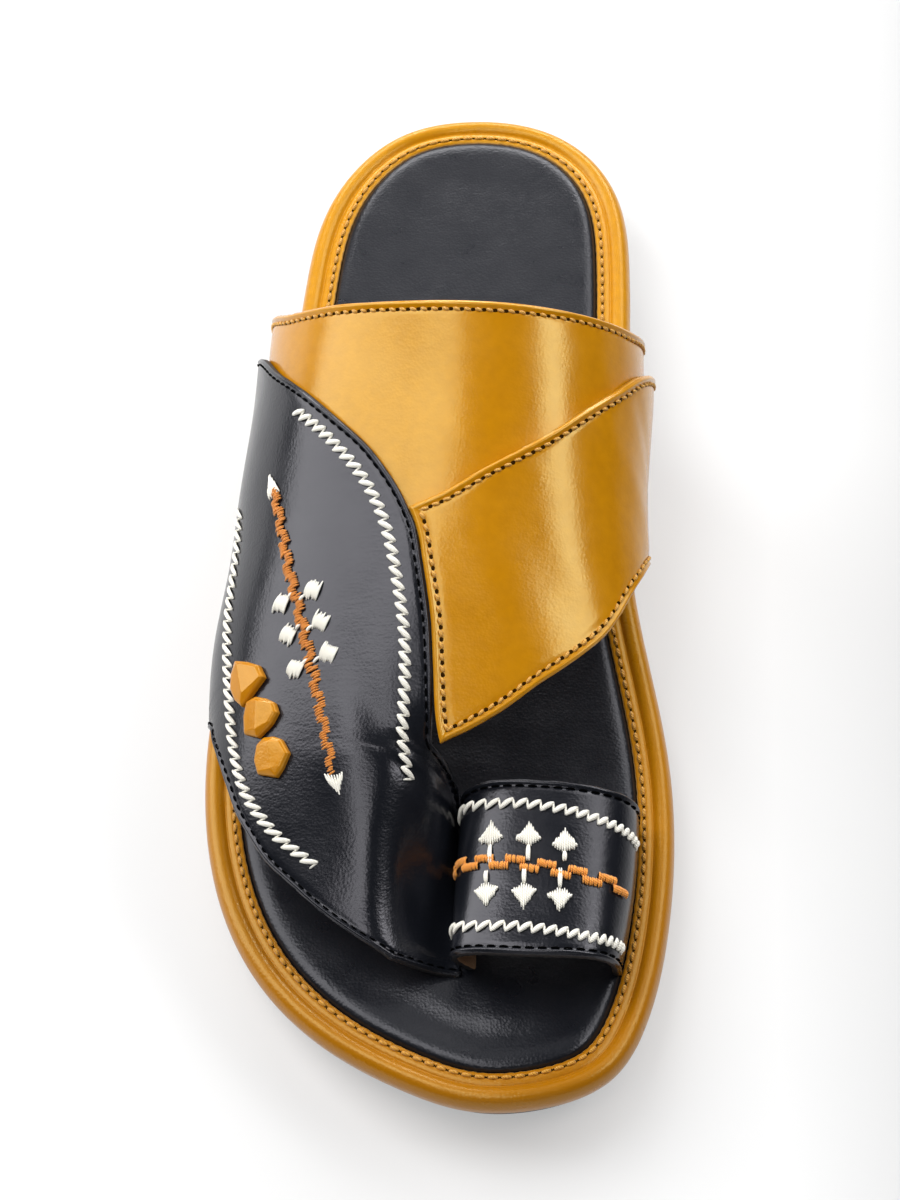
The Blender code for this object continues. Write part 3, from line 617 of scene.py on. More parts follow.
def slot_x(station):
    """Middle line of the slot between the toes."""
    share = (station - SLOT_REAR[0]) / (SLOT_FRONT[0] - SLOT_REAR[0])
    return SLOT_REAR[1] + share * (SLOT_FRONT[1] - SLOT_REAR[1])


def half_section(root, widest, height, ridge, top, power):
    """Half of a section: foot in the seam, flare to the widest place, then round to the ridge."""
    q = np.linspace(0.0, 1.0, FLARE_POINTS)
    flare = np.stack([root + (widest - root) * np.sin(q * np.pi / 2.0), height * q], axis=1)
    turn = np.linspace(0.0, np.pi / 2.0, HALF_POINTS)[1:]
    across = ridge + (widest - ridge) * np.cos(turn) ** (2.0 / power)
    up = height + (top - height) * np.sin(turn) ** (2.0 / power)
    return np.vstack([[[root, -FOOT_DEPTH]], flare, np.stack([across, up], axis=1)])


def toe_half(station, ridge, top):
    """Inner half of the panel over the small toes, down to the slot beside the loop."""
    share = ease(*DIP_FLATTENS, station)
    end = slot_x(max(station, SLOT_REAR[0])) - np.interp(share, (0.0, 1.0), PANEL_TO_LOOP)
    turn = np.linspace(0.0, np.pi / 2.0, HALF_POINTS)
    x = ridge + (end - ridge) * np.cos(turn) ** (2.0 / INNER_POWER)
    arch = np.sin(turn) ** (2.0 / INNER_POWER)
    dip = 0.5 + 0.5 * np.cos(np.pi * (x - ridge) / (end - ridge))
    height = TOE_DIP_BASE + (top - TOE_DIP_BASE) * ((1.0 - share) * arch + share * dip)
    return np.vstack([[[end, -FOOT_DEPTH]], np.stack([x, height], axis=1)])


def last_section(station):
    """Section of the last."""
    top, ridge, outer_reach, outer_height, inner_reach, inner_height = table_row(LAST, station)
    outer_root, inner_root = (side_x(half, station) for half in ROOT_SIDES)
    outer_edge, inner_edge = (side_x(half, station) for half in EDGE_SIDES)
    outer = half_section(outer_root, outer_edge - outer_reach, outer_height, ridge, top, OUTER_POWER)
    inner = half_section(inner_root, inner_edge + inner_reach, inner_height, ridge, top, INNER_POWER)
    return np.vstack([outer, inner[::-1][1:]])


def panel_section(station):
    """Section of the outer panel: the last, then only the small toes."""
    points = last_section(station)
    share = ease(*TOES_PART, station)
    if share == 0.0:
        return points
    peak = len(points) // 2
    ridge, top = points[peak]
    count = len(points) - peak
    over_foot = resample(points[peak:], count)
    over_toes = resample(toe_half(station, ridge, top)[::-1], count)
    return np.vstack([points[:peak], (1.0 - share) * over_foot + share * over_toes])


def loop_section(station):
    """Section of the big toe loop, from the slot to the inner seam."""
    shoulder, top, top_x = table_row(LOOP, station)
    root = side_x(ROOT_SIDES[1], station)
    outer = half_section(slot_x(station), shoulder, LOOP_SHOULDER_HEIGHT, top_x, top, LOOP_POWER)
    inner = half_section(root, root + LOOP_INNER_REACH, LOOP_INNER_HEIGHT, top_x, top, LOOP_POWER)
    return np.vstack([outer, inner[::-1][1:]])


class Form:
    """Outer face of a strap, as a fine table over station and share of girth."""

    def __init__(self, section, start, end):
        self.start = start
        self.stations = np.arange(start, end + TABLE_STEP / 2.0, TABLE_STEP)
        shares = np.linspace(0.0, 1.0, TABLE_SHARES)
        rows, wholes = [], []
        for station in self.stations:
            points = section(float(station))
            girth = along(points)
            rows.append([np.interp(shares * girth[-1], girth, column) for column in points.T])
            wholes.append(girth[-1])
        self.table = np.transpose(np.array(rows), (0, 2, 1))
        self.wholes = np.array(wholes)

    def whole(self, station):
        """Girth from seam to seam."""
        return np.interp(station, self.stations, self.wholes)

    def at(self, station, girth):
        """Points on the face."""
        station, girth = np.broadcast_arrays(np.asarray(station, float), np.asarray(girth, float))
        share = np.clip(girth / self.whole(station), 0.0, 1.0) * (TABLE_SHARES - 1)
        row = np.clip((station - self.start) / TABLE_STEP, 0.0, len(self.stations) - 1.001)
        i = row.astype(int)
        j = np.minimum(share.astype(int), TABLE_SHARES - 2)
        u, v = (row - i)[..., None], (share - j)[..., None]
        low = (1.0 - v) * self.table[i, j] + v * self.table[i, j + 1]
        high = (1.0 - v) * self.table[i + 1, j] + v * self.table[i + 1, j + 1]
        flat = (1.0 - u) * low + u * high
        return np.stack([flat[..., 0], station, band_height(station) + flat[..., 1]], axis=-1)

    def slopes(self, station, girth):
        """Change of the point per unit of station and of girth."""
        station, girth = np.asarray(station, float), np.asarray(girth, float)
        ahead = self.at(station + NORMAL_STEP, girth) - self.at(station - NORMAL_STEP, girth)
        low = np.clip(girth - NORMAL_STEP, 0.0, None)
        high = np.minimum(girth + NORMAL_STEP, self.whole(station))
        over = (self.at(station, high) - self.at(station, low)) / (high - low)[..., None]
        return ahead / (2.0 * NORMAL_STEP), over

    def normal(self, station, girth):
        """Unit vectors out of the face."""
        ahead, over = self.slopes(station, girth)
        return unit(np.cross(over, ahead))


def distance_to(points, lines):
    """Distance from each point to the nearest of several dense polylines."""
    targets = np.vstack(lines)
    flat = points.reshape(-1, 3)
    nearest = np.empty(len(flat))
    for start in range(0, len(flat), DISTANCE_BATCH):
        part = flat[start:start + DISTANCE_BATCH]
        gaps = np.linalg.norm(part[:, None, :] - targets[None, :, :], axis=2)
        nearest[start:start + DISTANCE_BATCH] = gaps.min(axis=1)
    return nearest.reshape(points.shape[:-1])


def crease_lift(table, first, second):
    """Height of listed creases and swells over a flat pattern."""
    lift = np.zeros(np.broadcast(first, second).shape)
    for station, girth, turn, half_length, half_width, height in table:
        cosine, sine = np.cos(np.radians(turn)), np.sin(np.radians(turn))
        forward = (first - station) * cosine + (second - girth) * sine
        across = (second - girth) * cosine - (first - station) * sine
        lift += height * np.exp(-(forward / half_length) ** 2 - (across / half_width) ** 2)
    return lift


# Node helpers
def node_group(name, inputs, outputs):
    """New shader node group with its sockets."""
    group = bpy.data.node_groups.new(name, "ShaderNodeTree")
    for socket, value in inputs:
        entry = group.interface.new_socket(socket, in_out="INPUT", socket_type="NodeSocketFloat")
        entry.default_value = value
    for socket, kind in outputs:
        group.interface.new_socket(socket, in_out="OUTPUT", socket_type=kind)
    return group, group.nodes.new("NodeGroupInput"), group.nodes.new("NodeGroupOutput")


def place_group(tree, group, **values):
    """Outputs of a shared group placed with its own values."""
    node = tree.nodes.new("ShaderNodeGroup")
    node.node_tree = group
    for socket, value in values.items():
        node.inputs[socket].default_value = value
    return node.outputs


def set_input(tree, socket, value):
    """Feed an input from a socket, a colour or a number."""
    if isinstance(value, bpy.types.NodeSocket):
        tree.links.new(value, socket)
    elif isinstance(value, tuple):
        socket.default_value = (*value, 1.0)
    else:
        socket.default_value = value


def object_place(tree):
    """Places in the part's own frame."""
    return tree.nodes.new("ShaderNodeTexCoord").outputs["Object"]


def axis_node(tree, vector, axis):
    """One axis of a vector."""
    node = tree.nodes.new("ShaderNodeSeparateXYZ")
    tree.links.new(vector, node.inputs["Vector"])
    return node.outputs[axis]


def facing_up(tree):
    """How far the surface faces up, from -1 to 1."""
    return axis_node(tree, tree.nodes.new("ShaderNodeNewGeometry").outputs["Normal"], "Z")


def math_node(tree, operation, first, second):
    """Math node with two inputs."""
    node = tree.nodes.new("ShaderNodeMath")
    node.operation = operation
    set_input(tree, node.inputs[0], first)
    set_input(tree, node.inputs[1], second)
    return node.outputs["Value"]


def noise_node(tree, vector, scale, detail, roughness):
    """Noise texture on a vector."""
    node = tree.nodes.new("ShaderNodeTexNoise")
    node.inputs["Scale"].default_value = scale
    node.inputs["Detail"].default_value = detail
    node.inputs["Roughness"].default_value = roughness
    tree.links.new(vector, node.inputs["Vector"])
    return node.outputs["Fac"]


def wave_node(tree, vector, direction, scale, distortion):
    """Wave texture on a vector."""
    node = tree.nodes.new("ShaderNodeTexWave")
    node.bands_direction = direction
    node.inputs["Distortion"].default_value = distortion
    set_input(tree, node.inputs["Scale"], scale)
    tree.links.new(vector, node.inputs["Vector"])
    return node.outputs["Fac"]


def range_node(tree, value, low, high, to_low, to_high):
    """Clamped change of range."""
    node = tree.nodes.new("ShaderNodeMapRange")
    tree.links.new(value, node.inputs["Value"])
    for socket, number in zip(("From Min", "From Max", "To Min", "To Max"), (low, high, to_low, to_high)):
        node.inputs[socket].default_value = number
    return node.outputs["Result"]


def mix_node(tree, share, first, second):
    """Mix of two colours."""
    node = tree.nodes.new("ShaderNodeMix")
    node.data_type = "RGBA"
    for socket, value in ((node.inputs[0], share), (node.inputs[6], first), (node.inputs[7], second)):
        set_input(tree, socket, value)
    return node.outputs[2]


def bump_node(tree, height, strength, distance, normal=None):
    """Normal that follows a height."""
    node = tree.nodes.new("ShaderNodeBump")
    node.inputs["Distance"].default_value = distance
    set_input(tree, node.inputs["Strength"], strength)
    tree.links.new(height, node.inputs["Height"])
    if normal is not None:
        tree.links.new(normal, node.inputs["Normal"])
    return node.outputs["Normal"]


def make_grain_group():
    """Leather grain: fine pores, a brushed run across the foot and slow waviness, as a normal."""
    inputs = [(layer, 0.1) for layer in GRAIN_LAYERS]
    group, enter, leave = node_group("leather_grain", inputs, [("Normal", "NodeSocketVector")])
    place = object_place(group)
    pores = group.nodes.new("ShaderNodeTexVoronoi")
    pores.inputs["Scale"].default_value = PORE_SCALE
    group.links.new(place, pores.inputs["Vector"])
    stretch = group.nodes.new("ShaderNodeMapping")
    stretch.inputs["Scale"].default_value = BRUSH_STRETCH
    group.links.new(place, stretch.inputs["Vector"])
    brush = noise_node(group, stretch.outputs["Vector"], *BRUSH_NOISE)
    waves = noise_node(group, place, *WAVES_NOISE)
    heights = (pores.outputs["Distance"], brush, waves)
    normal = None
    for layer, height, depth in zip(GRAIN_LAYERS, heights, GRAIN_DEPTHS):
        normal = bump_node(group, height, enter.outputs[layer], depth, normal)
    group.links.new(normal, leave.inputs["Normal"])
    return group


def make_tone_group():
    """Uneven leather: soft patches with fine mottling, painted shade on downward faces, and uneven polish, as
    masks.
    """
    outputs = [(socket, "NodeSocketFloat") for socket in ("Patches", "Painted_under_shade", "Polish")]
    group, _, leave = node_group("leather_tone", [], outputs)
    place = object_place(group)
    patches = range_node(group, noise_node(group, place, *PATCHES_NOISE), *PATCHES_RANGE)
    mottling = range_node(group, noise_node(group, place, *MOTTLING_NOISE), *MOTTLING_RANGE)
    group.links.new(math_node(group, "ADD", patches, mottling), leave.inputs["Patches"])
    # Painted shade: grows as a face turns down
    group.links.new(range_node(group, facing_up(group), *PAINTED_UNDER_SHADE_RANGE), leave.inputs["Painted_under_shade"])
    polish = range_node(group, noise_node(group, place, *POLISH_NOISE), *POLISH_RANGE)
    group.links.new(polish, leave.inputs["Polish"])
    return group


def make_wear_group():
    """Worn edges: how far a place bends outwards, broken up by noise."""
    group, enter, leave = node_group("edge_wear", [("Amount", 0.5)], [("Mask", "NodeSocketFloat")])
    geometry = group.nodes.new("ShaderNodeNewGeometry")
    edge = range_node(group, geometry.outputs["Pointiness"], *BEND_RANGE)
    noise = noise_node(group, object_place(group), *WEAR_NOISE)
    broken = range_node(group, noise, *BROKEN_RANGE)
    product = math_node(group, "MULTIPLY", edge, broken)
    group.links.new(math_node(group, "MULTIPLY", product, enter.outputs["Amount"]), leave.inputs["Mask"])
    return group


def make_twist_group():
    """Twisted thread: fine slanted strands as a normal and a mask."""
    outputs = [("Normal", "NodeSocketVector"), ("Mask", "NodeSocketFloat")]
    group, enter, leave = node_group("thread_twist", [("Strength", 0.5), ("Scale", TWIST_SCALE)], outputs)
    strands = wave_node(group, object_place(group), "DIAGONAL", enter.outputs["Scale"], TWIST_DISTORTION)
    normal = bump_node(group, strands, enter.outputs["Strength"], TWIST_DEPTH)
    group.links.new(normal, leave.inputs["Normal"])
    group.links.new(strands, leave.inputs["Mask"])
    return group


def new_material(name, colour, roughness):
    """Material with its shader ready."""
    made = bpy.data.materials.new(name)
    made.use_nodes = True
    made.diffuse_color = (*colour, 1.0)
    shader = made.node_tree.nodes["Principled BSDF"]
    shader.inputs["Base Color"].default_value = (*colour, 1.0)
    shader.inputs["Roughness"].default_value = roughness
    return made, made.node_tree, shader


def matt(name, colour):
    """Finish without any shine."""
    made, _, shader = new_material(name, colour, MATT_ROUGHNESS)
    shader.inputs["Specular IOR Level"].default_value = 0.0
    return made


def leather(groups, name, colour, deep, roughness, grain,
            shine=WHITE_SHINE, worn=None, wear=0.0, toe_shade=0.0):
    """Leather with grain, uneven colour and polish, painted shade on downward faces and towards the toe, and
    worn edges.
    """
    made, tree, shader = new_material(name, colour, roughness)
    skin = place_group(tree, groups["grain"], **dict(zip(GRAIN_LAYERS, grain)))
    uneven = place_group(tree, groups["tone"])
    tone = mix_node(tree, uneven["Patches"], colour, deep)
    # Painted shade: the colour deepens towards the toe, standing in for light that falls off from heel to toe
    if toe_shade > 0.0:
        along_foot = axis_node(tree, object_place(tree), "Y")
        tone = mix_node(tree, range_node(tree, along_foot, *PAINTED_TOE_SHADE_REACH, 0.0, toe_shade), tone, deep)
    # Painted shade: faces that point down take the deeper tone
    tone = mix_node(tree, uneven["Painted_under_shade"], tone, deep)
    if worn is not None:
        edge = place_group(tree, groups["wear"], Amount=wear)
        tone = mix_node(tree, edge["Mask"], tone, worn)
    tree.links.new(tone, shader.inputs["Base Color"])
    least, most = POLISH_SHARES
    polish = range_node(tree, uneven["Polish"], 0.0, 1.0, roughness * least, roughness * most)
    tree.links.new(polish, shader.inputs["Roughness"])
    tree.links.new(skin["Normal"], shader.inputs["Normal"])
    level, tint = shine
    shader.inputs["Specular IOR Level"].default_value = level
    shader.inputs["Specular Tint"].default_value = (*tint, 1.0)
    return made


def thread(groups, name, colour, deep, roughness):
    """Sewing or embroidery thread."""
    made, tree, shader = new_material(name, colour, roughness)
    twist = place_group(tree, groups["twist"])
    share = math_node(tree, "MULTIPLY", twist["Mask"], TWIST_SHARE)
    tree.links.new(mix_node(tree, share, colour, deep), shader.inputs["Base Color"])
    tree.links.new(twist["Normal"], shader.inputs["Normal"])
    shader.inputs["Sheen Weight"].default_value = THREAD_SHEEN
    return made


def rubber(name, colour):
    """Matt rubber with fine cross ribs on its underside."""
    made, tree, shader = new_material(name, colour, RUBBER_ROUGHNESS)
    place = object_place(tree)
    under = range_node(tree, facing_up(tree), *TREAD_RANGE)
    waves = wave_node(tree, place, "Y", RIB_SCALE, RIB_DISTORTION)
    ribs = bump_node(tree, waves, under, RIB_DEPTH)
    pits = bump_node(tree, noise_node(tree, place, *PITS_NOISE), PIT_STRENGTH, PIT_DEPTH, ribs)
    tree.links.new(pits, shader.inputs["Normal"])
    dust = range_node(tree, noise_node(tree, place, *DUST_NOISE), *DUST_RANGE)
    tree.links.new(mix_node(tree, dust, colour, DUST), shader.inputs["Base Color"])
    return made


def pale_floor():
    """Pale floor with a little glow, darkened by a painted shadow beyond the inner side of the shoe."""
    made, tree, shader = new_material("pale_floor", FLOOR, FLOOR_ROUGHNESS)
    # Painted shadow: colour and glow fall off beyond the inner side of the shoe
    shade = range_node(tree, axis_node(tree, object_place(tree), "X"), *FLOOR_SHADE, 0.0, 1.0)
    tree.links.new(mix_node(tree, shade, FLOOR, PAINTED_FLOOR_SHADOW), shader.inputs["Base Color"])
    tree.links.new(range_node(tree, shade, 0.0, 1.0, *FLOOR_GLOW), shader.inputs["Emission Strength"])
    shader.inputs["Emission Color"].default_value = (*WHITE, 1.0)
    return made


def make_materials():
    """Every finish of the sandal."""
    groups = {"grain": make_grain_group(), "tone": make_tone_group(), "wear": make_wear_group(),
              "twist": make_twist_group()}
    m = {key: leather(groups, **look) for key, look in LEATHERS.items()}
    m.update({key: thread(groups, **look) for key, look in THREADS.items()})
    m["ink"] = matt("sunk_black_thread", INK)
    m["hole"] = matt("stitch_hole_painted_shade", PAINTED_HOLE_SHADE)
    m["rubber"] = rubber("black_rubber", RUBBER)
    m["floor"] = pale_floor()
    return m


def to_metres(points):
    """Points in the part's frame."""
    x, station, height = np.moveaxis(np.asarray(points, float), -1, 0)
    return np.stack([x - X_MIDDLE, STATION_MIDDLE - station, height], axis=-1) * MM


def add_piece(name, points, faces, materials, slot, replaced=(), indices=None):
    """Closed mesh that rides on the sandal."""
    mesh = bpy.data.meshes.new(name)
    corners = [[int(corner) for corner in face] for face in faces]
    mesh.from_pydata(to_metres(points).tolist(), [], corners)
    for entry in materials:
        mesh.materials.append(entry)
    if indices is not None:
        mesh.polygons.foreach_set("material_index", np.asarray(indices, np.int32))
    work = bmesh.new()
    work.from_mesh(mesh)
    bmesh.ops.recalc_face_normals(work, faces=work.faces)
    work.to_mesh(mesh)
    work.free()
    mesh.shade_smooth()
    piece = bpy.data.objects.new(name, mesh)
    bpy.context.scene.collection.objects.link(piece)
    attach(piece, "root")
    if replaced:
        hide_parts(*replaced)
    return piece


def grid_faces(rows, columns, start=0, closed=False):
    """Quads of a grid of points; closed joins the last column to the first."""
    index = start + np.arange(rows * columns).reshape(rows, columns)
    if closed:
        index = np.hstack([index, index[:, :1]])
    a, b, c, d = index[:-1, :-1], index[:-1, 1:], index[1:, 1:], index[1:, :-1]
    return np.stack([a, b, c, d], axis=-1).reshape(-1, 4)


def edge_steps(length, near_start, near_end):
    """Shares from 0 to 1, close together by free edges."""
    near = np.array(NEAR_EDGE)
    first = near if near_start else near[:1]
    last = length - (near if near_end else near[:1])[::-1]
    count = max(2, int(round((last[0] - first[-1]) / LEATHER_STEP)))
    middle = np.linspace(first[-1], last[0], count + 1)[1:-1]
    return np.concatenate([first, middle, last]) / length


def rim_lift(distance, roll, stitch):
    """Height near a free edge: rounded rim, folded roll and the stitch line's trough."""
    inside = np.clip(1.0 - distance / RIM_RADIUS, 0.0, 1.0)
    rounding = RIM_RADIUS * (1.0 - np.sqrt(1.0 - inside**2))
    puff = roll * np.exp(-((distance - ROLL_PLACE) / ROLL_HALF) ** 2)
    trough = TROUGH_DEPTH * np.exp(-((distance - stitch) / TROUGH_HALF) ** 2)
    return puff - rounding - trough


def leather_wall(name, form, grid, free, build, materials, slot, replaced):
    """Leather sheet on a form: outer face with rims and creases, lining and cut edge."""
    station, girth = grid[..., 0], grid[..., 1]
    rows, columns = station.shape
    face = form.at(station, girth)
    normal = form.normal(station, girth)
    edge = distance_to(face, [form.at(line[:, 0], line[:, 1]) for line in free])
    swell = crease_lift(build["creases"], station, girth) * ease(*CREASE_FADE, edge)
    lift = build["base"] + rim_lift(edge, build["roll"], build["stitch"]) + swell
    turn = LINING_TURN * np.clip(1.0 - edge / LINING_REACH, 0.0, 1.0) ** 2
    depth = build["base"] - build["wall"] + turn + swell
    outer = (face + lift[..., None] * normal).reshape(-1, 3)
    inner = (face + depth[..., None] * normal).reshape(-1, 3)
    count = rows * columns
    faces = grid_faces(rows, columns)
    under = grid_faces(rows, columns, count)[:, ::-1]
    index = np.arange(count).reshape(rows, columns)
    rim = np.concatenate([index[0], index[1:, -1], index[-1, -2::-1], index[-2:0:-1, 0]])
    after = np.roll(rim, -1)
    band = np.stack([after, rim, rim + count, after + count], axis=1)
    indices = np.repeat([0, 1, 2], [len(faces), len(under), len(band)])
    everything = np.vstack([faces, under, band])
    add_piece(name, np.vstack([outer, inner]), everything, materials, slot, replaced, indices)


def from_seam(station):
    """Girth of a strap that starts in the outer seam."""
    return np.zeros_like(station)


def beside_panel(station):
    """Girth of a strap that starts beside the panel's curved edge."""
    return table_row(PANEL_UPPER_EDGE, station)[..., 0] + EDGE_GAP


def strap_grid(table, form, start_girth, near_sides, near_ends):
    """Grid of a strap between its rear and front edges, as station and girth."""
    middle = table_row(table, 0.5)
    length = form.whole(middle.mean()) - start_girth(middle.mean())
    shares = edge_steps(length, *near_ends)
    width = np.mean([row[2] - row[1] for row in table])
    across = edge_steps(width, *near_sides)
    rear, front = table_row(table, shares).T
    station = rear[:, None] + across[None, :] * (front - rear)[:, None]
    first = start_girth(station)
    girth = first + shares[:, None] * (form.whole(station) - first)
    return np.stack([station, girth], axis=-1)


def dense(form, line, step=EDGE_LINE_STEP):
    """Polyline of stations and girths with evenly spaced points."""
    line = np.asarray(line, float)
    order = np.linspace(0, len(line) - 1, LINE_REFINE * len(line))
    fine = np.stack([np.interp(order, np.arange(len(line)), column) for column in line.T], axis=1)
    distance = along(form.at(fine[:, 0], fine[:, 1]))
    even = np.linspace(0.0, distance[-1], max(3, int(distance[-1] / step)))
    return np.stack([np.interp(even, distance, column) for column in fine.T], axis=1)


def smooth_line(table, count=LINE_POINTS):
    """Curve through a short table of points, by their order."""
    table = np.asarray(table, float)
    order = np.column_stack([np.arange(len(table)), table])
    return table_row(order, np.linspace(0.0, len(table) - 1.0, count))


class Seam:
    """A line on a form, with places given by distance along it and across it."""

    def __init__(self, form, line, inner=None):
        self.form = form
        self.line = dense(form, line, SEAM_LINE_STEP)
        points = form.at(self.line[:, 0], self.line[:, 1])
        self.distance = along(points)
        self.length = self.distance[-1]
        ahead, over = form.slopes(self.line[:, 0], self.line[:, 1])
        tangent = unit(np.gradient(points, axis=0))
        side = unit(np.cross(form.normal(self.line[:, 0], self.line[:, 1]), tangent))
        aa, oo, ao = (ahead * ahead).sum(1), (over * over).sum(1), (ahead * over).sum(1)
        sa, so = (side * ahead).sum(1), (side * over).sum(1)
        whole = aa * oo - ao * ao
        self.step = np.stack([(sa * oo - so * ao) / whole, (so * aa - sa * ao) / whole], axis=1)
        if inner is not None:
            middle = len(line) // 2
            towards = form.at(*inner[middle]) - form.at(*line[middle])
            nearest = np.argmin(np.linalg.norm(points - form.at(*line[middle]), axis=1))
            self.step *= np.sign(side[nearest] @ towards)

    def at(self, run, across):
        """Station and girth at distances along and across the line, which runs on straight past its ends."""
        run, across = np.broadcast_arrays(np.asarray(run, float), np.asarray(across, float))
        flat = np.clip(run, 0.0, self.length)
        near_start = SEAM_END_POINTS
        near_end = -1 - SEAM_END_POINTS
        columns = []
        for values, steps in zip(self.line.T, self.step.T):
            base = np.interp(flat, self.distance, values)
            step = np.interp(flat, self.distance, steps)
            start_slope = (values[near_start] - values[0]) / self.distance[near_start]
            end_slope = (values[-1] - values[near_end]) / (self.length - self.distance[near_end])
            before = start_slope * np.minimum(run, 0.0)
            beyond = end_slope * np.maximum(run - self.length, 0.0)
            columns.append(base + before + beyond + across * step)
        return columns[0], columns[1]

    def points(self, run, across, lift):
        """Points over the form and the face's normals there."""
        station, girth = self.at(run, across)
        normal = self.form.normal(station, girth)
        return self.form.at(station, girth) + np.asarray(lift)[..., None] * normal, normal


def tubes(points, normals, radii, flat=1.0):
    """Closed round threads along many polylines of the same length."""
    count, steps = points.shape[:2]
    tangent = unit(np.gradient(points, axis=1))
    side = unit(np.cross(tangent, normals))
    up = np.cross(side, tangent)
    angle = np.arange(THREAD_SIDES) * 2.0 * np.pi / THREAD_SIDES
    ring = np.cos(angle)[:, None] * side[:, :, None, :] + flat * np.sin(angle)[:, None] * up[:, :, None, :]
    skin = points[:, :, None, :] + radii[..., None, None] * ring
    one = grid_faces(steps, THREAD_SIDES, closed=True)
    starts = np.arange(count)[:, None, None] * steps * THREAD_SIDES
    walls = (one[None] + starts).reshape(-1, 4)
    ends = [(ring_cap(first)[None] + starts).reshape(-1, 4) for first in (0, (steps - 1) * THREAD_SIDES)]
    return skin.reshape(-1, 3), np.vstack([walls, *ends])


def ring_cap(first):
    """Quads that close a thread's ring of points."""
    return first + np.array([(0, k, k + 1, k + 2) for k in range(1, THREAD_SIDES - 2, 2)])


def joined(parts):
    """Several sets of points and faces as one."""
    points, faces, start = [], [], 0
    for verts, quads in parts:
        points.append(verts)
        faces.append(quads + start)
        start += len(verts)
    return np.vstack(points), np.vstack(faces)


def stitch_tubes(seam, lift, trim, across, pitch, length, radius, slant=0.0):
    """Row of sewn stitches beside a line: thread tubes and their holes' places."""
    start, end = trim[0], seam.length - trim[1]
    count = int((end - start) / pitch)
    middle = start + (np.arange(count) + 0.5) * (end - start) / count
    each = np.ones((count, 1))
    run = middle[:, None] + STITCH_SHAPE[:, 0] * length
    side = across + slant * STITCH_SHAPE[:, 0] * each
    points, normals = seam.points(run, side, lift + STITCH_SHAPE[:, 2] * each)
    between = middle + pitch / 2.0
    holes = seam.points(between, np.full(count, across), np.full(count, lift - HOLE_DEPTH))
    return tubes(points, normals, radius * STITCH_SHAPE[:, 1] * each), holes


def hole_discs(places, normals, radius):
    """Small dark domes of painted shade where a thread goes into the leather."""
    helper = np.where(np.abs(normals[:, :1]) > 0.8, (0.0, 1.0, 0.0), (1.0, 0.0, 0.0))
    first = unit(np.cross(normals, helper))
    second = np.cross(normals, first)
    angle = np.arange(THREAD_SIDES) * 2.0 * np.pi / THREAD_SIDES
    ring = np.cos(angle)[:, None] * first[:, None, :] + np.sin(angle)[:, None] * second[:, None, :]
    levels = [(places + up * normals)[:, None, :] + radius * share * ring for share, up in HOLE_DOME]
    last = (len(HOLE_DOME) - 1) * THREAD_SIDES
    one = np.vstack([grid_faces(len(HOLE_DOME), THREAD_SIDES, closed=True), ring_cap(0), ring_cap(last)])
    starts = np.arange(len(places))[:, None, None] * len(HOLE_DOME) * THREAD_SIDES
    return np.stack(levels, axis=1).reshape(-1, 3), (one[None] + starts).reshape(-1, 4)


def sew(name, rows, thread_material, slot, hole_material=None, hole_radius=0.0):
    """Joined stitches of several rows, and their holes where a row has them."""
    add_piece(name, *joined([row[0] for row in rows]), [thread_material], slot)
    if hole_material is not None:
        discs = [hole_discs(*row[1], hole_radius) for row in rows]
        add_piece(name + "_holes", *joined(discs), [hole_material], slot)


def strokes(seam, starts, ends, radius, lift, arch, flat=1.0):
    """Embroidery strokes between places given along and across a line."""
    starts, ends = np.asarray(starts, float), np.asarray(ends, float)
    share = np.linspace(0.0, 1.0, STROKE_POINTS)
    run = starts[:, :1] + share * (ends - starts)[:, :1]
    across = starts[:, 1:] + share * (ends - starts)[:, 1:]
    height = lift + arch * np.sin(np.pi * share) * np.ones((len(starts), 1))
    points, normals = seam.points(run, across, height)
    shape = STROKE_END + (1.0 - STROKE_END) * np.sin(np.pi * share) ** STROKE_SWELL
    return tubes(points, normals, radius * shape * np.ones((len(starts), 1)), flat)


def zigzag(seam, pitch, widths, leans, radius, tighten=0.0):
    """Row of thick slanted strokes with thin returns, closer together towards its end."""
    count = int(round(seam.length / pitch))
    share = np.arange(count + 1) / count
    run = seam.length * (share + tighten * share * (1.0 - share))
    start, after = run[:-1], run[1:]
    high = np.linspace(*widths, count) / 2.0
    lean = np.linspace(*leans, count)
    foot = np.stack([start, -high], 1)
    head = np.stack([start + (after - start) * lean, high], 1)
    next_foot = np.stack([after, -high], 1)
    rise = strokes(seam, foot, head, radius, *ZIGZAG_RISE)
    fall = strokes(seam, head, next_foot, radius * RETURN_SHARE, *ZIGZAG_RETURN)
    return joined([rise, fall])


def stepped_blocks(seam, uneven, spacing, sway, block, overlap, shift, width, slant):
    """Satin blocks of slanted stitches that step from side to side along a line."""
    number = np.arange(int(seam.length / block))
    inside = np.arange(-overlap, block + overlap, spacing)
    run = (number[:, None] * block + inside).ravel()
    middle = np.repeat(np.where(number % 2 > 0, shift, -shift), len(inside))
    off = uneven.normal(0.0, sway, (4, len(run)))
    starts = np.stack([run - slant + off[0], middle - width / 2.0 + off[1]], axis=1)
    ends = np.stack([run + slant + off[2], middle + width / 2.0 + off[3]], axis=1)
    return strokes(seam, starts, ends, *SATIN_THREAD)


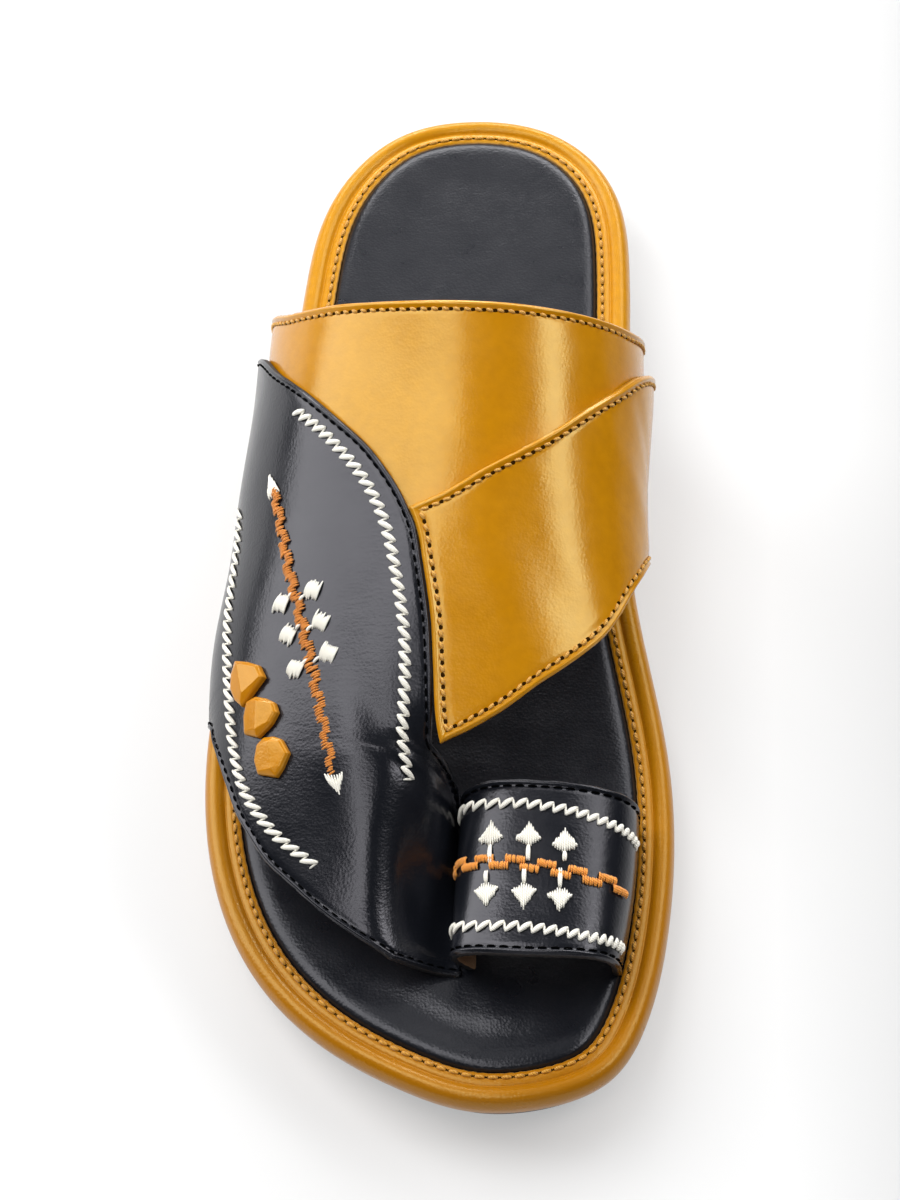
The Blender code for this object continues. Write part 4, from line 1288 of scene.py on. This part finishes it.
def diamond(middle, uneven, half, turn, stack, count, sway):
    """Starts and ends of parallel strokes that fill a square standing on its corner."""
    cosine, sine = np.cos(np.radians(turn)), np.sin(np.radians(turn))
    stroke, aside = np.array((-cosine, -sine)), np.array((sine, -cosine))
    middles = np.array(middle) + half * np.linspace(-stack, stack, count)[:, None] * aside
    reach = half * (1.0 + uneven.normal(0.0, sway, (2, count, 1)))
    return middles - reach[0] * stroke, middles + reach[1] * stroke


def tip(run, length, half_width, count):
    """Starts and ends of strokes along a line that narrow to a point."""
    starts, ends = [], []
    for offset in np.linspace(-1.0, 1.0, count):
        starts.append((run - np.sign(length) * TIP_INSET, offset * half_width))
        ends.append((run + length * (1.0 - TIP_NARROWING * abs(offset)), offset * half_width * TIP_NARROWING))
    return starts, ends


def spade(run, uneven, point, tail, half_width, count, sway):
    """Starts and ends of strokes that fill a spade, with its point on the positive side of the line."""
    starts, ends = [], []
    for offset in np.linspace(-SPADE_SPREAD, SPADE_SPREAD, count):
        share = 1.0 - abs(offset)
        off = uneven.normal(0.0, sway, 2)
        starts.append((run + offset * half_width, -tail * share**SPADE_ROUNDING + off[0]))
        ends.append((run + offset * half_width * SPADE_CLOSING, point * share + off[1]))
    return np.array(starts), np.array(ends)


def sole_ring(inset, height):
    """Ring inside the outline; height is a function of flat places as x and station."""
    flat = (RING + np.reshape(inset, (-1, 1)) * inward(RING))[:, ::-1]
    return np.column_stack([flat, height(flat)])


def over_joint(up):
    """Function for a height over the joint, of flat places."""
    return lambda flat: joint_height(flat[:, 1]) + up


def in_rubber(share, added):
    """Function for a height at a share of the rubber's thickness, of flat places."""
    def height(flat):
        low, high = tread_height(flat[:, 1]), joint_height(flat[:, 1])
        return low + share * (high - low) + added
    return height


def spine_rings(ring, count):
    """Rings that shrink from a ring to the foot's middle line, as flat places."""
    spine_station = np.clip(ring[:, 1], *SPINE_ENDS)
    left, right = ROOT_SIDES
    spine_x = (side_x(left, spine_station) + side_x(right, spine_station)) / 2.0
    spine = np.stack([spine_x, spine_station], axis=1)
    return [ring[:, :2] + share * (spine - ring[:, :2]) for share in np.linspace(0.0, 1.0, count + 1)[1:]]


def ring_solid(name, rings, materials, slot, replaced, over_height, under_height, turns=None):
    """Solid through rings from its underside to its top; the second material starts at ring number turns."""
    under = spine_rings(rings[0], UNDER_RINGS)[::-1]
    over = spine_rings(rings[-1], OVER_RINGS)
    stack = [np.column_stack([flat, under_height(flat)]) for flat in under]
    stack += list(rings)
    stack += [np.column_stack([flat, over_height(flat)]) for flat in over]
    faces = grid_faces(len(stack), len(rings[0]), closed=True)
    indices = None
    if turns is not None:
        row = np.arange(len(faces)) // len(rings[0])
        indices = row >= len(under) + turns
    return add_piece(name, np.vstack(stack), faces, materials, slot, replaced, indices)


def make_rubber_sole(m):
    """Rubber sole under the wrapped edge."""
    rings = [sole_ring(inset, in_rubber(share, added)) for inset, share, added in RUBBER_PROFILE]
    ring_solid("sole_rubber", rings, [m["rubber"]], "outsole_rubber", ["outsole"],
               over_joint(0.0), in_rubber(0.0, 0.0))


def make_wrapped_edge(m):
    """Leather edge with its bead, valley and band, puckered at the seam."""
    profile = smooth_line(EDGE_PROFILE, EDGE_RINGS)
    pucker = PUCKER_DEPTH * np.cos(np.arange(OUTLINE_POINTS) * 2.0 * np.pi * PUCKERS / OUTLINE_POINTS)
    rings = []
    for inset, up in profile:
        near_seam = np.exp(-((inset - PUCKER_INSET) / PUCKER_HALF) ** 2)
        rings.append(sole_ring(inset + pucker * near_seam, over_joint(up)))
    raw_from = int(np.argmax(profile[:, 0] > RAW_INSET))
    ring_solid("sole_edge", rings, [m["edge"], m["raw"]], "mustard_leather", ["midsole"],
               over_joint(BED_FLOOR), over_joint(EDGE_UNDER), raw_from)


def make_bed(m):
    """Padded bed in the band, crowned and creased."""
    rings = []
    for inset, up in smooth_line(BED_PROFILE, BED_RINGS):
        rings.append(sole_ring(BAND_INSET + SEAM_GAP + inset, over_joint(up)))
    rim = rings[-1][:, :2]

    def bed_top(flat):
        gap = np.linalg.norm(flat - rim, axis=1)
        pillow = BED_PILLOW * ease(0.0, PILLOW_REACH, gap)
        creases = crease_lift(BED_CREASES, flat[:, 1], flat[:, 0]) * ease(0.0, BED_CREASE_REACH, gap)
        return joint_height(flat[:, 1]) + BED_TOP + (pillow + creases)

    bed = ring_solid("padded_bed", rings, [m["bed"]], "insole_leather", ["insole"], bed_top,
                     over_joint(BED_UNDER))


def make_band_stitches(m):
    """Stitches round the flat band of the wrapped edge."""
    ring = RING + BAND_STITCH_INSET * inward(RING)
    closed = np.vstack([ring, ring[:1]])
    distance = along(closed)
    count = int(distance[-1] / BAND_PITCH)
    number = np.arange(count)[:, None]

    def on_band(place, lift):
        run = place * distance[-1] / count
        station, x = (np.interp(run, distance, column) for column in closed.T)
        points = np.stack([x, station, band_height(station) + lift], axis=-1)
        return points, np.broadcast_to((0.0, 0.0, 1.0), points.shape)

    middles = number + 0.5 + STITCH_SHAPE[:, 0] * BAND_STITCH_SHARE
    points, up = on_band(middles, BAND_STITCH_LIFT + STITCH_SHAPE[:, 2])
    tube = tubes(points, up, BAND_STITCH_RADIUS * STITCH_SHAPE[:, 1] * np.ones((count, 1)))
    holes = on_band((number + BAND_HOLE_OFFSETS).ravel(), BAND_HOLE_LIFT)
    sew("band_stitches", [(tube, holes)], m["band"], "mustard_leather", m["hole"], BAND_HOLE)


def panel_edges(form, station):
    """Lower and upper girth of the panel."""
    lower = np.where(station < PANEL_TOE_EDGE[0][0], 0.0, table_row(PANEL_TOE_EDGE, station)[..., 0])
    upper = table_row(PANEL_UPPER_EDGE, station)[..., 0]
    dive = ease(*PANEL_DIVE, station)
    return lower, (1.0 - dive) * upper + dive * form.whole(station)


def make_straps(m, last):
    """Rear strap and the cross strap over it, with their stitches."""
    finishes = [m["strap"], m["lining"], m["edge"]]
    grid = strap_grid(REAR_STRAP, last, from_seam, (True, False), (False, False))
    rear_edge = grid[:, 0]
    leather_wall("rear_strap", last, grid, [dense(last, rear_edge)], REAR_BUILD, finishes,
                 "mustard_leather", ["upper_straps"])
    rear_seam = Seam(last, rear_edge, grid[:, INSIDE_LINE])
    rows = [stitch_tubes(rear_seam, -UNDER_DEPTH, REAR_TRIM, **STRAP_STITCH)]

    grid = strap_grid(CROSS_STRAP, last, beside_panel, (True, True), (True, False))
    edges = [grid[:, 0], grid[:, -1], grid[0]]
    leather_wall("cross_strap", last, grid, [dense(last, edge) for edge in edges], CROSS_BUILD, finishes,
                 "mustard_leather", [])
    inners = [grid[:, INSIDE_LINE], grid[:, -INSIDE_LINE], grid[INSIDE_LINE]]
    for edge, inner, trim in zip(edges, inners, CROSS_TRIMS):
        rows.append(stitch_tubes(Seam(last, edge, inner), CROSS_LIFT, trim, **STRAP_STITCH))
    sew("strap_stitches", rows, m["gold"], "mustard_leather", m["hole"], STRAP_HOLE)


def make_panel(m, form):
    """Outer panel with its rims and stitches."""
    start, end = PANEL_ENDS
    stations = start + (end - start) * edge_steps(end - start, True, True)
    lower, upper = panel_edges(form, stations)
    shares = edge_steps(PANEL_WIDTH, True, True)
    girth = lower[:, None] + shares * (upper - lower)[:, None]
    grid = np.stack([np.broadcast_to(stations[:, None], girth.shape), girth], axis=-1)
    behind_dive = stations < PANEL_DIVE[1]
    over_toes = stations > PANEL_TOE_EDGE[0][0]
    upper_line = grid[behind_dive, -1]
    toe_line = np.vstack([grid[over_toes, 0], grid[-1, 1:]])
    free = [dense(form, line) for line in (upper_line, toe_line, grid[0])]
    leather_wall("outer_panel", form, grid, free, PANEL_BUILD, [m["black"], m["lining"], m["dark_raw"]],
                 "black_leather", ["upper_panel"])
    upper_seam = Seam(form, upper_line, grid[behind_dive, -INSIDE_LINE])
    toe_inner = np.vstack([grid[over_toes, INSIDE_LINE], grid[-INSIDE_LINE, 1:]])
    rows = [stitch_tubes(upper_seam, SUNK_LIFT, **PANEL_UPPER_STITCH),
            stitch_tubes(Seam(form, toe_line, toe_inner), SUNK_LIFT, **PANEL_TOE_STITCH)]
    sew("panel_stitches", rows, m["ink"], "black_leather")


def make_panel_embroidery(m, form):
    """Two zigzag rows, and a stem with diamonds and tips, on the panel."""
    stem = Seam(form, smooth_line(PANEL_STEM))
    uneven = np.random.default_rng(4)
    cream = [zigzag(Seam(form, smooth_line(PANEL_INNER_ROW)), **PANEL_INNER_ZIGZAG),
             zigzag(Seam(form, smooth_line(PANEL_OUTER_ROW)), **PANEL_OUTER_ZIGZAG)]
    for side in DIAMOND_SIDES:
        foot, head = np.array(side["tie"])
        for run in side["runs"]:
            filling = diamond((run, side["across"]), uneven, **DIAMOND)
            cream.append(strokes(stem, *filling, *DIAMOND_THREAD))
            cream.append(strokes(stem, [foot + (run, 0.0)], [head + (run, 0.0)], *DIAMOND_TIE_THREAD))
    cream.append(strokes(stem, *tip(TIP_INSET, **REAR_TIP), *TIP_THREAD))
    cream.append(strokes(stem, *tip(stem.length - TIP_INSET, **FRONT_TIP), *TIP_THREAD))
    add_piece("panel_embroidery", *joined(cream), [m["cream"]], "black_leather")
    blocks = stepped_blocks(stem, uneven, **STEM_BLOCKS)
    add_piece("panel_stem", *blocks, [m["stem"]], "black_leather")


def make_studs(m, form):
    """Raised studs, each with a ridge, falling facets and softly rounded edges."""
    for number, (middle, outline, ridge) in enumerate(STUDS, start=1):
        flat = np.array(outline) * STUD_SIZE
        count = len(flat)
        levels = [(size * flat, height) for size, height in STUD_RINGS] + [(np.array(ridge), STUD_TOP)]
        points = []
        for places, height in levels:
            station, girth = middle[0] + places[:, 0], middle[1] + places[:, 1]
            points.append(form.at(station, girth) + height * form.normal(station, girth))
        faces = [range(count), *grid_faces(len(STUD_RINGS), count, closed=True)]
        top = (len(STUD_RINGS) - 1) * count
        gaps = np.linalg.norm(flat[:, None] - np.array(ridge)[None], axis=2)
        nearest = top + count + np.argmin(gaps, axis=1)
        for k in range(count):
            after = (k + 1) % count
            faces.append(dict.fromkeys((top + k, top + after, nearest[after], nearest[k])))
        stud = add_piece(f"panel_stud_{number}", np.vstack(points), faces, [m["stud"]], "stud_leather",
                         [f"stud_{number}"])
        bevel = stud.modifiers.new("soft_edges", "BEVEL")
        bevel.width = STUD_BEVEL
        bevel.segments = 3
        bevel.limit_method = "ANGLE"
        bevel.angle_limit = np.radians(STUD_BEVEL_ANGLE)
        bevel.harden_normals = True


def make_loop(m, form):
    """Loop for the big toe with its rims and stitches."""
    grid = strap_grid(TOE_LOOP, form, from_seam, (True, True), (False, False))
    edges = [grid[:, 0], grid[:, -1]]
    inners = [grid[:, INSIDE_LINE], grid[:, -INSIDE_LINE]]
    leather_wall("toe_loop", form, grid, [dense(form, edge) for edge in edges], LOOP_BUILD,
                 [m["loop"], m["lining"], m["dark_raw"]], "black_leather", ["upper_toe_loop"])
    rows = []
    for edge, inner in zip(edges, inners):
        rows.append(stitch_tubes(Seam(form, edge, inner), SUNK_LIFT, **LOOP_STITCH))
    sew("loop_stitches", rows, m["ink"], "black_leather")


def make_loop_embroidery(m, form):
    """Two zigzag rows, a stepped line and spades on both sides of it, on the loop."""
    cream = [zigzag(Seam(form, smooth_line(line)), **LOOP_ZIGZAG) for line in (LOOP_REAR_ROW, LOOP_FRONT_ROW)]
    uneven = np.random.default_rng(9)
    first = LOOP_LEVEL_GIRTHS[0]
    level = np.array([(LOOP_LEVEL, girth) for girth in LOOP_LEVEL_GIRTHS])
    straight = Seam(form, level, level + TOWARDS_TOE)
    for station, girth in LOOP_SPADES:
        run, away = girth - first, station - LOOP_LEVEL
        side = np.sign(away)
        filling = [places * (1.0, side) + (0.0, away) for places in spade(run, uneven, **SPADE)]
        cream.append(strokes(straight, *filling, *SPADE_THREAD))
        feet = [(run + shift, side * SPADE_TIE["start"]) for shift in SPADE_TIE["foot"]]
        heads = [(run + shift, away - side * SPADE_TIE["past"]) for shift in SPADE_TIE["head"]]
        cream.append(strokes(straight, feet, heads, *SPADE_TIE_THREAD))
    add_piece("loop_embroidery", *joined(cream), [m["cream"]], "black_leather")
    blocks = stepped_blocks(Seam(form, smooth_line(LOOP_STEM)), uneven, **LOOP_BLOCKS)
    add_piece("loop_steps", *blocks, [m["orange"]], "black_leather")


def make_floor(m):
    """Pale floor under the shoe."""
    mesh = bpy.data.meshes.new("floor")
    corners = [(x * FLOOR_REACH, y * FLOOR_REACH, 0.0) for x, y in ((-1, -1), (1, -1), (1, 1), (-1, 1))]
    mesh.from_pydata(corners, [], [(0, 1, 2, 3)])
    mesh.materials.append(m["floor"])
    floor = bpy.data.objects.new("floor", mesh)
    bpy.context.scene.collection.objects.link(floor)


def soft_box(name, place, aim, size, power):
    """Rectangle of soft light that faces a point."""
    data = bpy.data.lights.new(name, "AREA")
    data.shape = "RECTANGLE"
    data.size, data.size_y = size
    data.energy = power
    light = bpy.data.objects.new(name, data)
    bpy.context.scene.collection.objects.link(light)
    light.location = place
    light.rotation_euler = (Vector(aim) - Vector(place)).to_track_quat("-Z", "Y").to_euler()


def make_light():
    """Dim sky and the studio's soft boxes."""
    world = bpy.data.worlds.new("studio")
    world.use_nodes = True
    sky = world.node_tree.nodes["Background"]
    sky.inputs["Color"].default_value = (*SKY, 1.0)
    sky.inputs["Strength"].default_value = SKY_STRENGTH
    bpy.context.scene.world = world
    for box in SOFT_BOXES:
        soft_box(*box)


def make_camera():
    """Camera at the photo's angle to the shoe."""
    lens = bpy.data.cameras.new("camera")
    lens.lens = CAMERA_LENS
    lens.sensor_width = CAMERA_SENSOR
    camera = bpy.data.objects.new("camera", lens)
    bpy.context.scene.collection.objects.link(camera)
    camera.location = Vector(CAMERA_PLACE) * MM
    photo_way = Vector(PHOTO_AIM) - Vector(CAMERA_PLACE)
    shoe_way = Vector(CAMERA_AIM) - Vector(CAMERA_PLACE)
    turn = photo_way.rotation_difference(shoe_way)
    camera.rotation_euler = (turn @ photo_way.to_track_quat("-Z", "Y")).to_euler()
    bpy.context.scene.camera = camera
    bpy.context.scene.view_settings.view_transform = "Standard"


def main():
    """Build every piece round the frame."""
    m = make_materials()
    last = Form(last_section, *LAST_RANGE)
    panel = Form(panel_section, *PANEL_RANGE)
    loop = Form(loop_section, *LOOP_RANGE)
    make_rubber_sole(m)
    make_wrapped_edge(m)
    make_bed(m)
    make_band_stitches(m)
    make_straps(m, last)
    make_panel(m, panel)
    make_panel_embroidery(m, panel)
    make_studs(m, panel)
    make_loop(m, loop)
    make_loop_embroidery(m, loop)
    make_floor(m)
    make_light()
    make_camera()


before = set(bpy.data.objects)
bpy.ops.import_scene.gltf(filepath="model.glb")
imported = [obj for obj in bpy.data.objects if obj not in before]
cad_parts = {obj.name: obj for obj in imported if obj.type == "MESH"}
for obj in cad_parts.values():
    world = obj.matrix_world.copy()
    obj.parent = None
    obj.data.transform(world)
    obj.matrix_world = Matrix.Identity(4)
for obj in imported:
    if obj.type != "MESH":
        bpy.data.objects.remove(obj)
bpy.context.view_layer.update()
main()
bpy.context.view_layer.update()
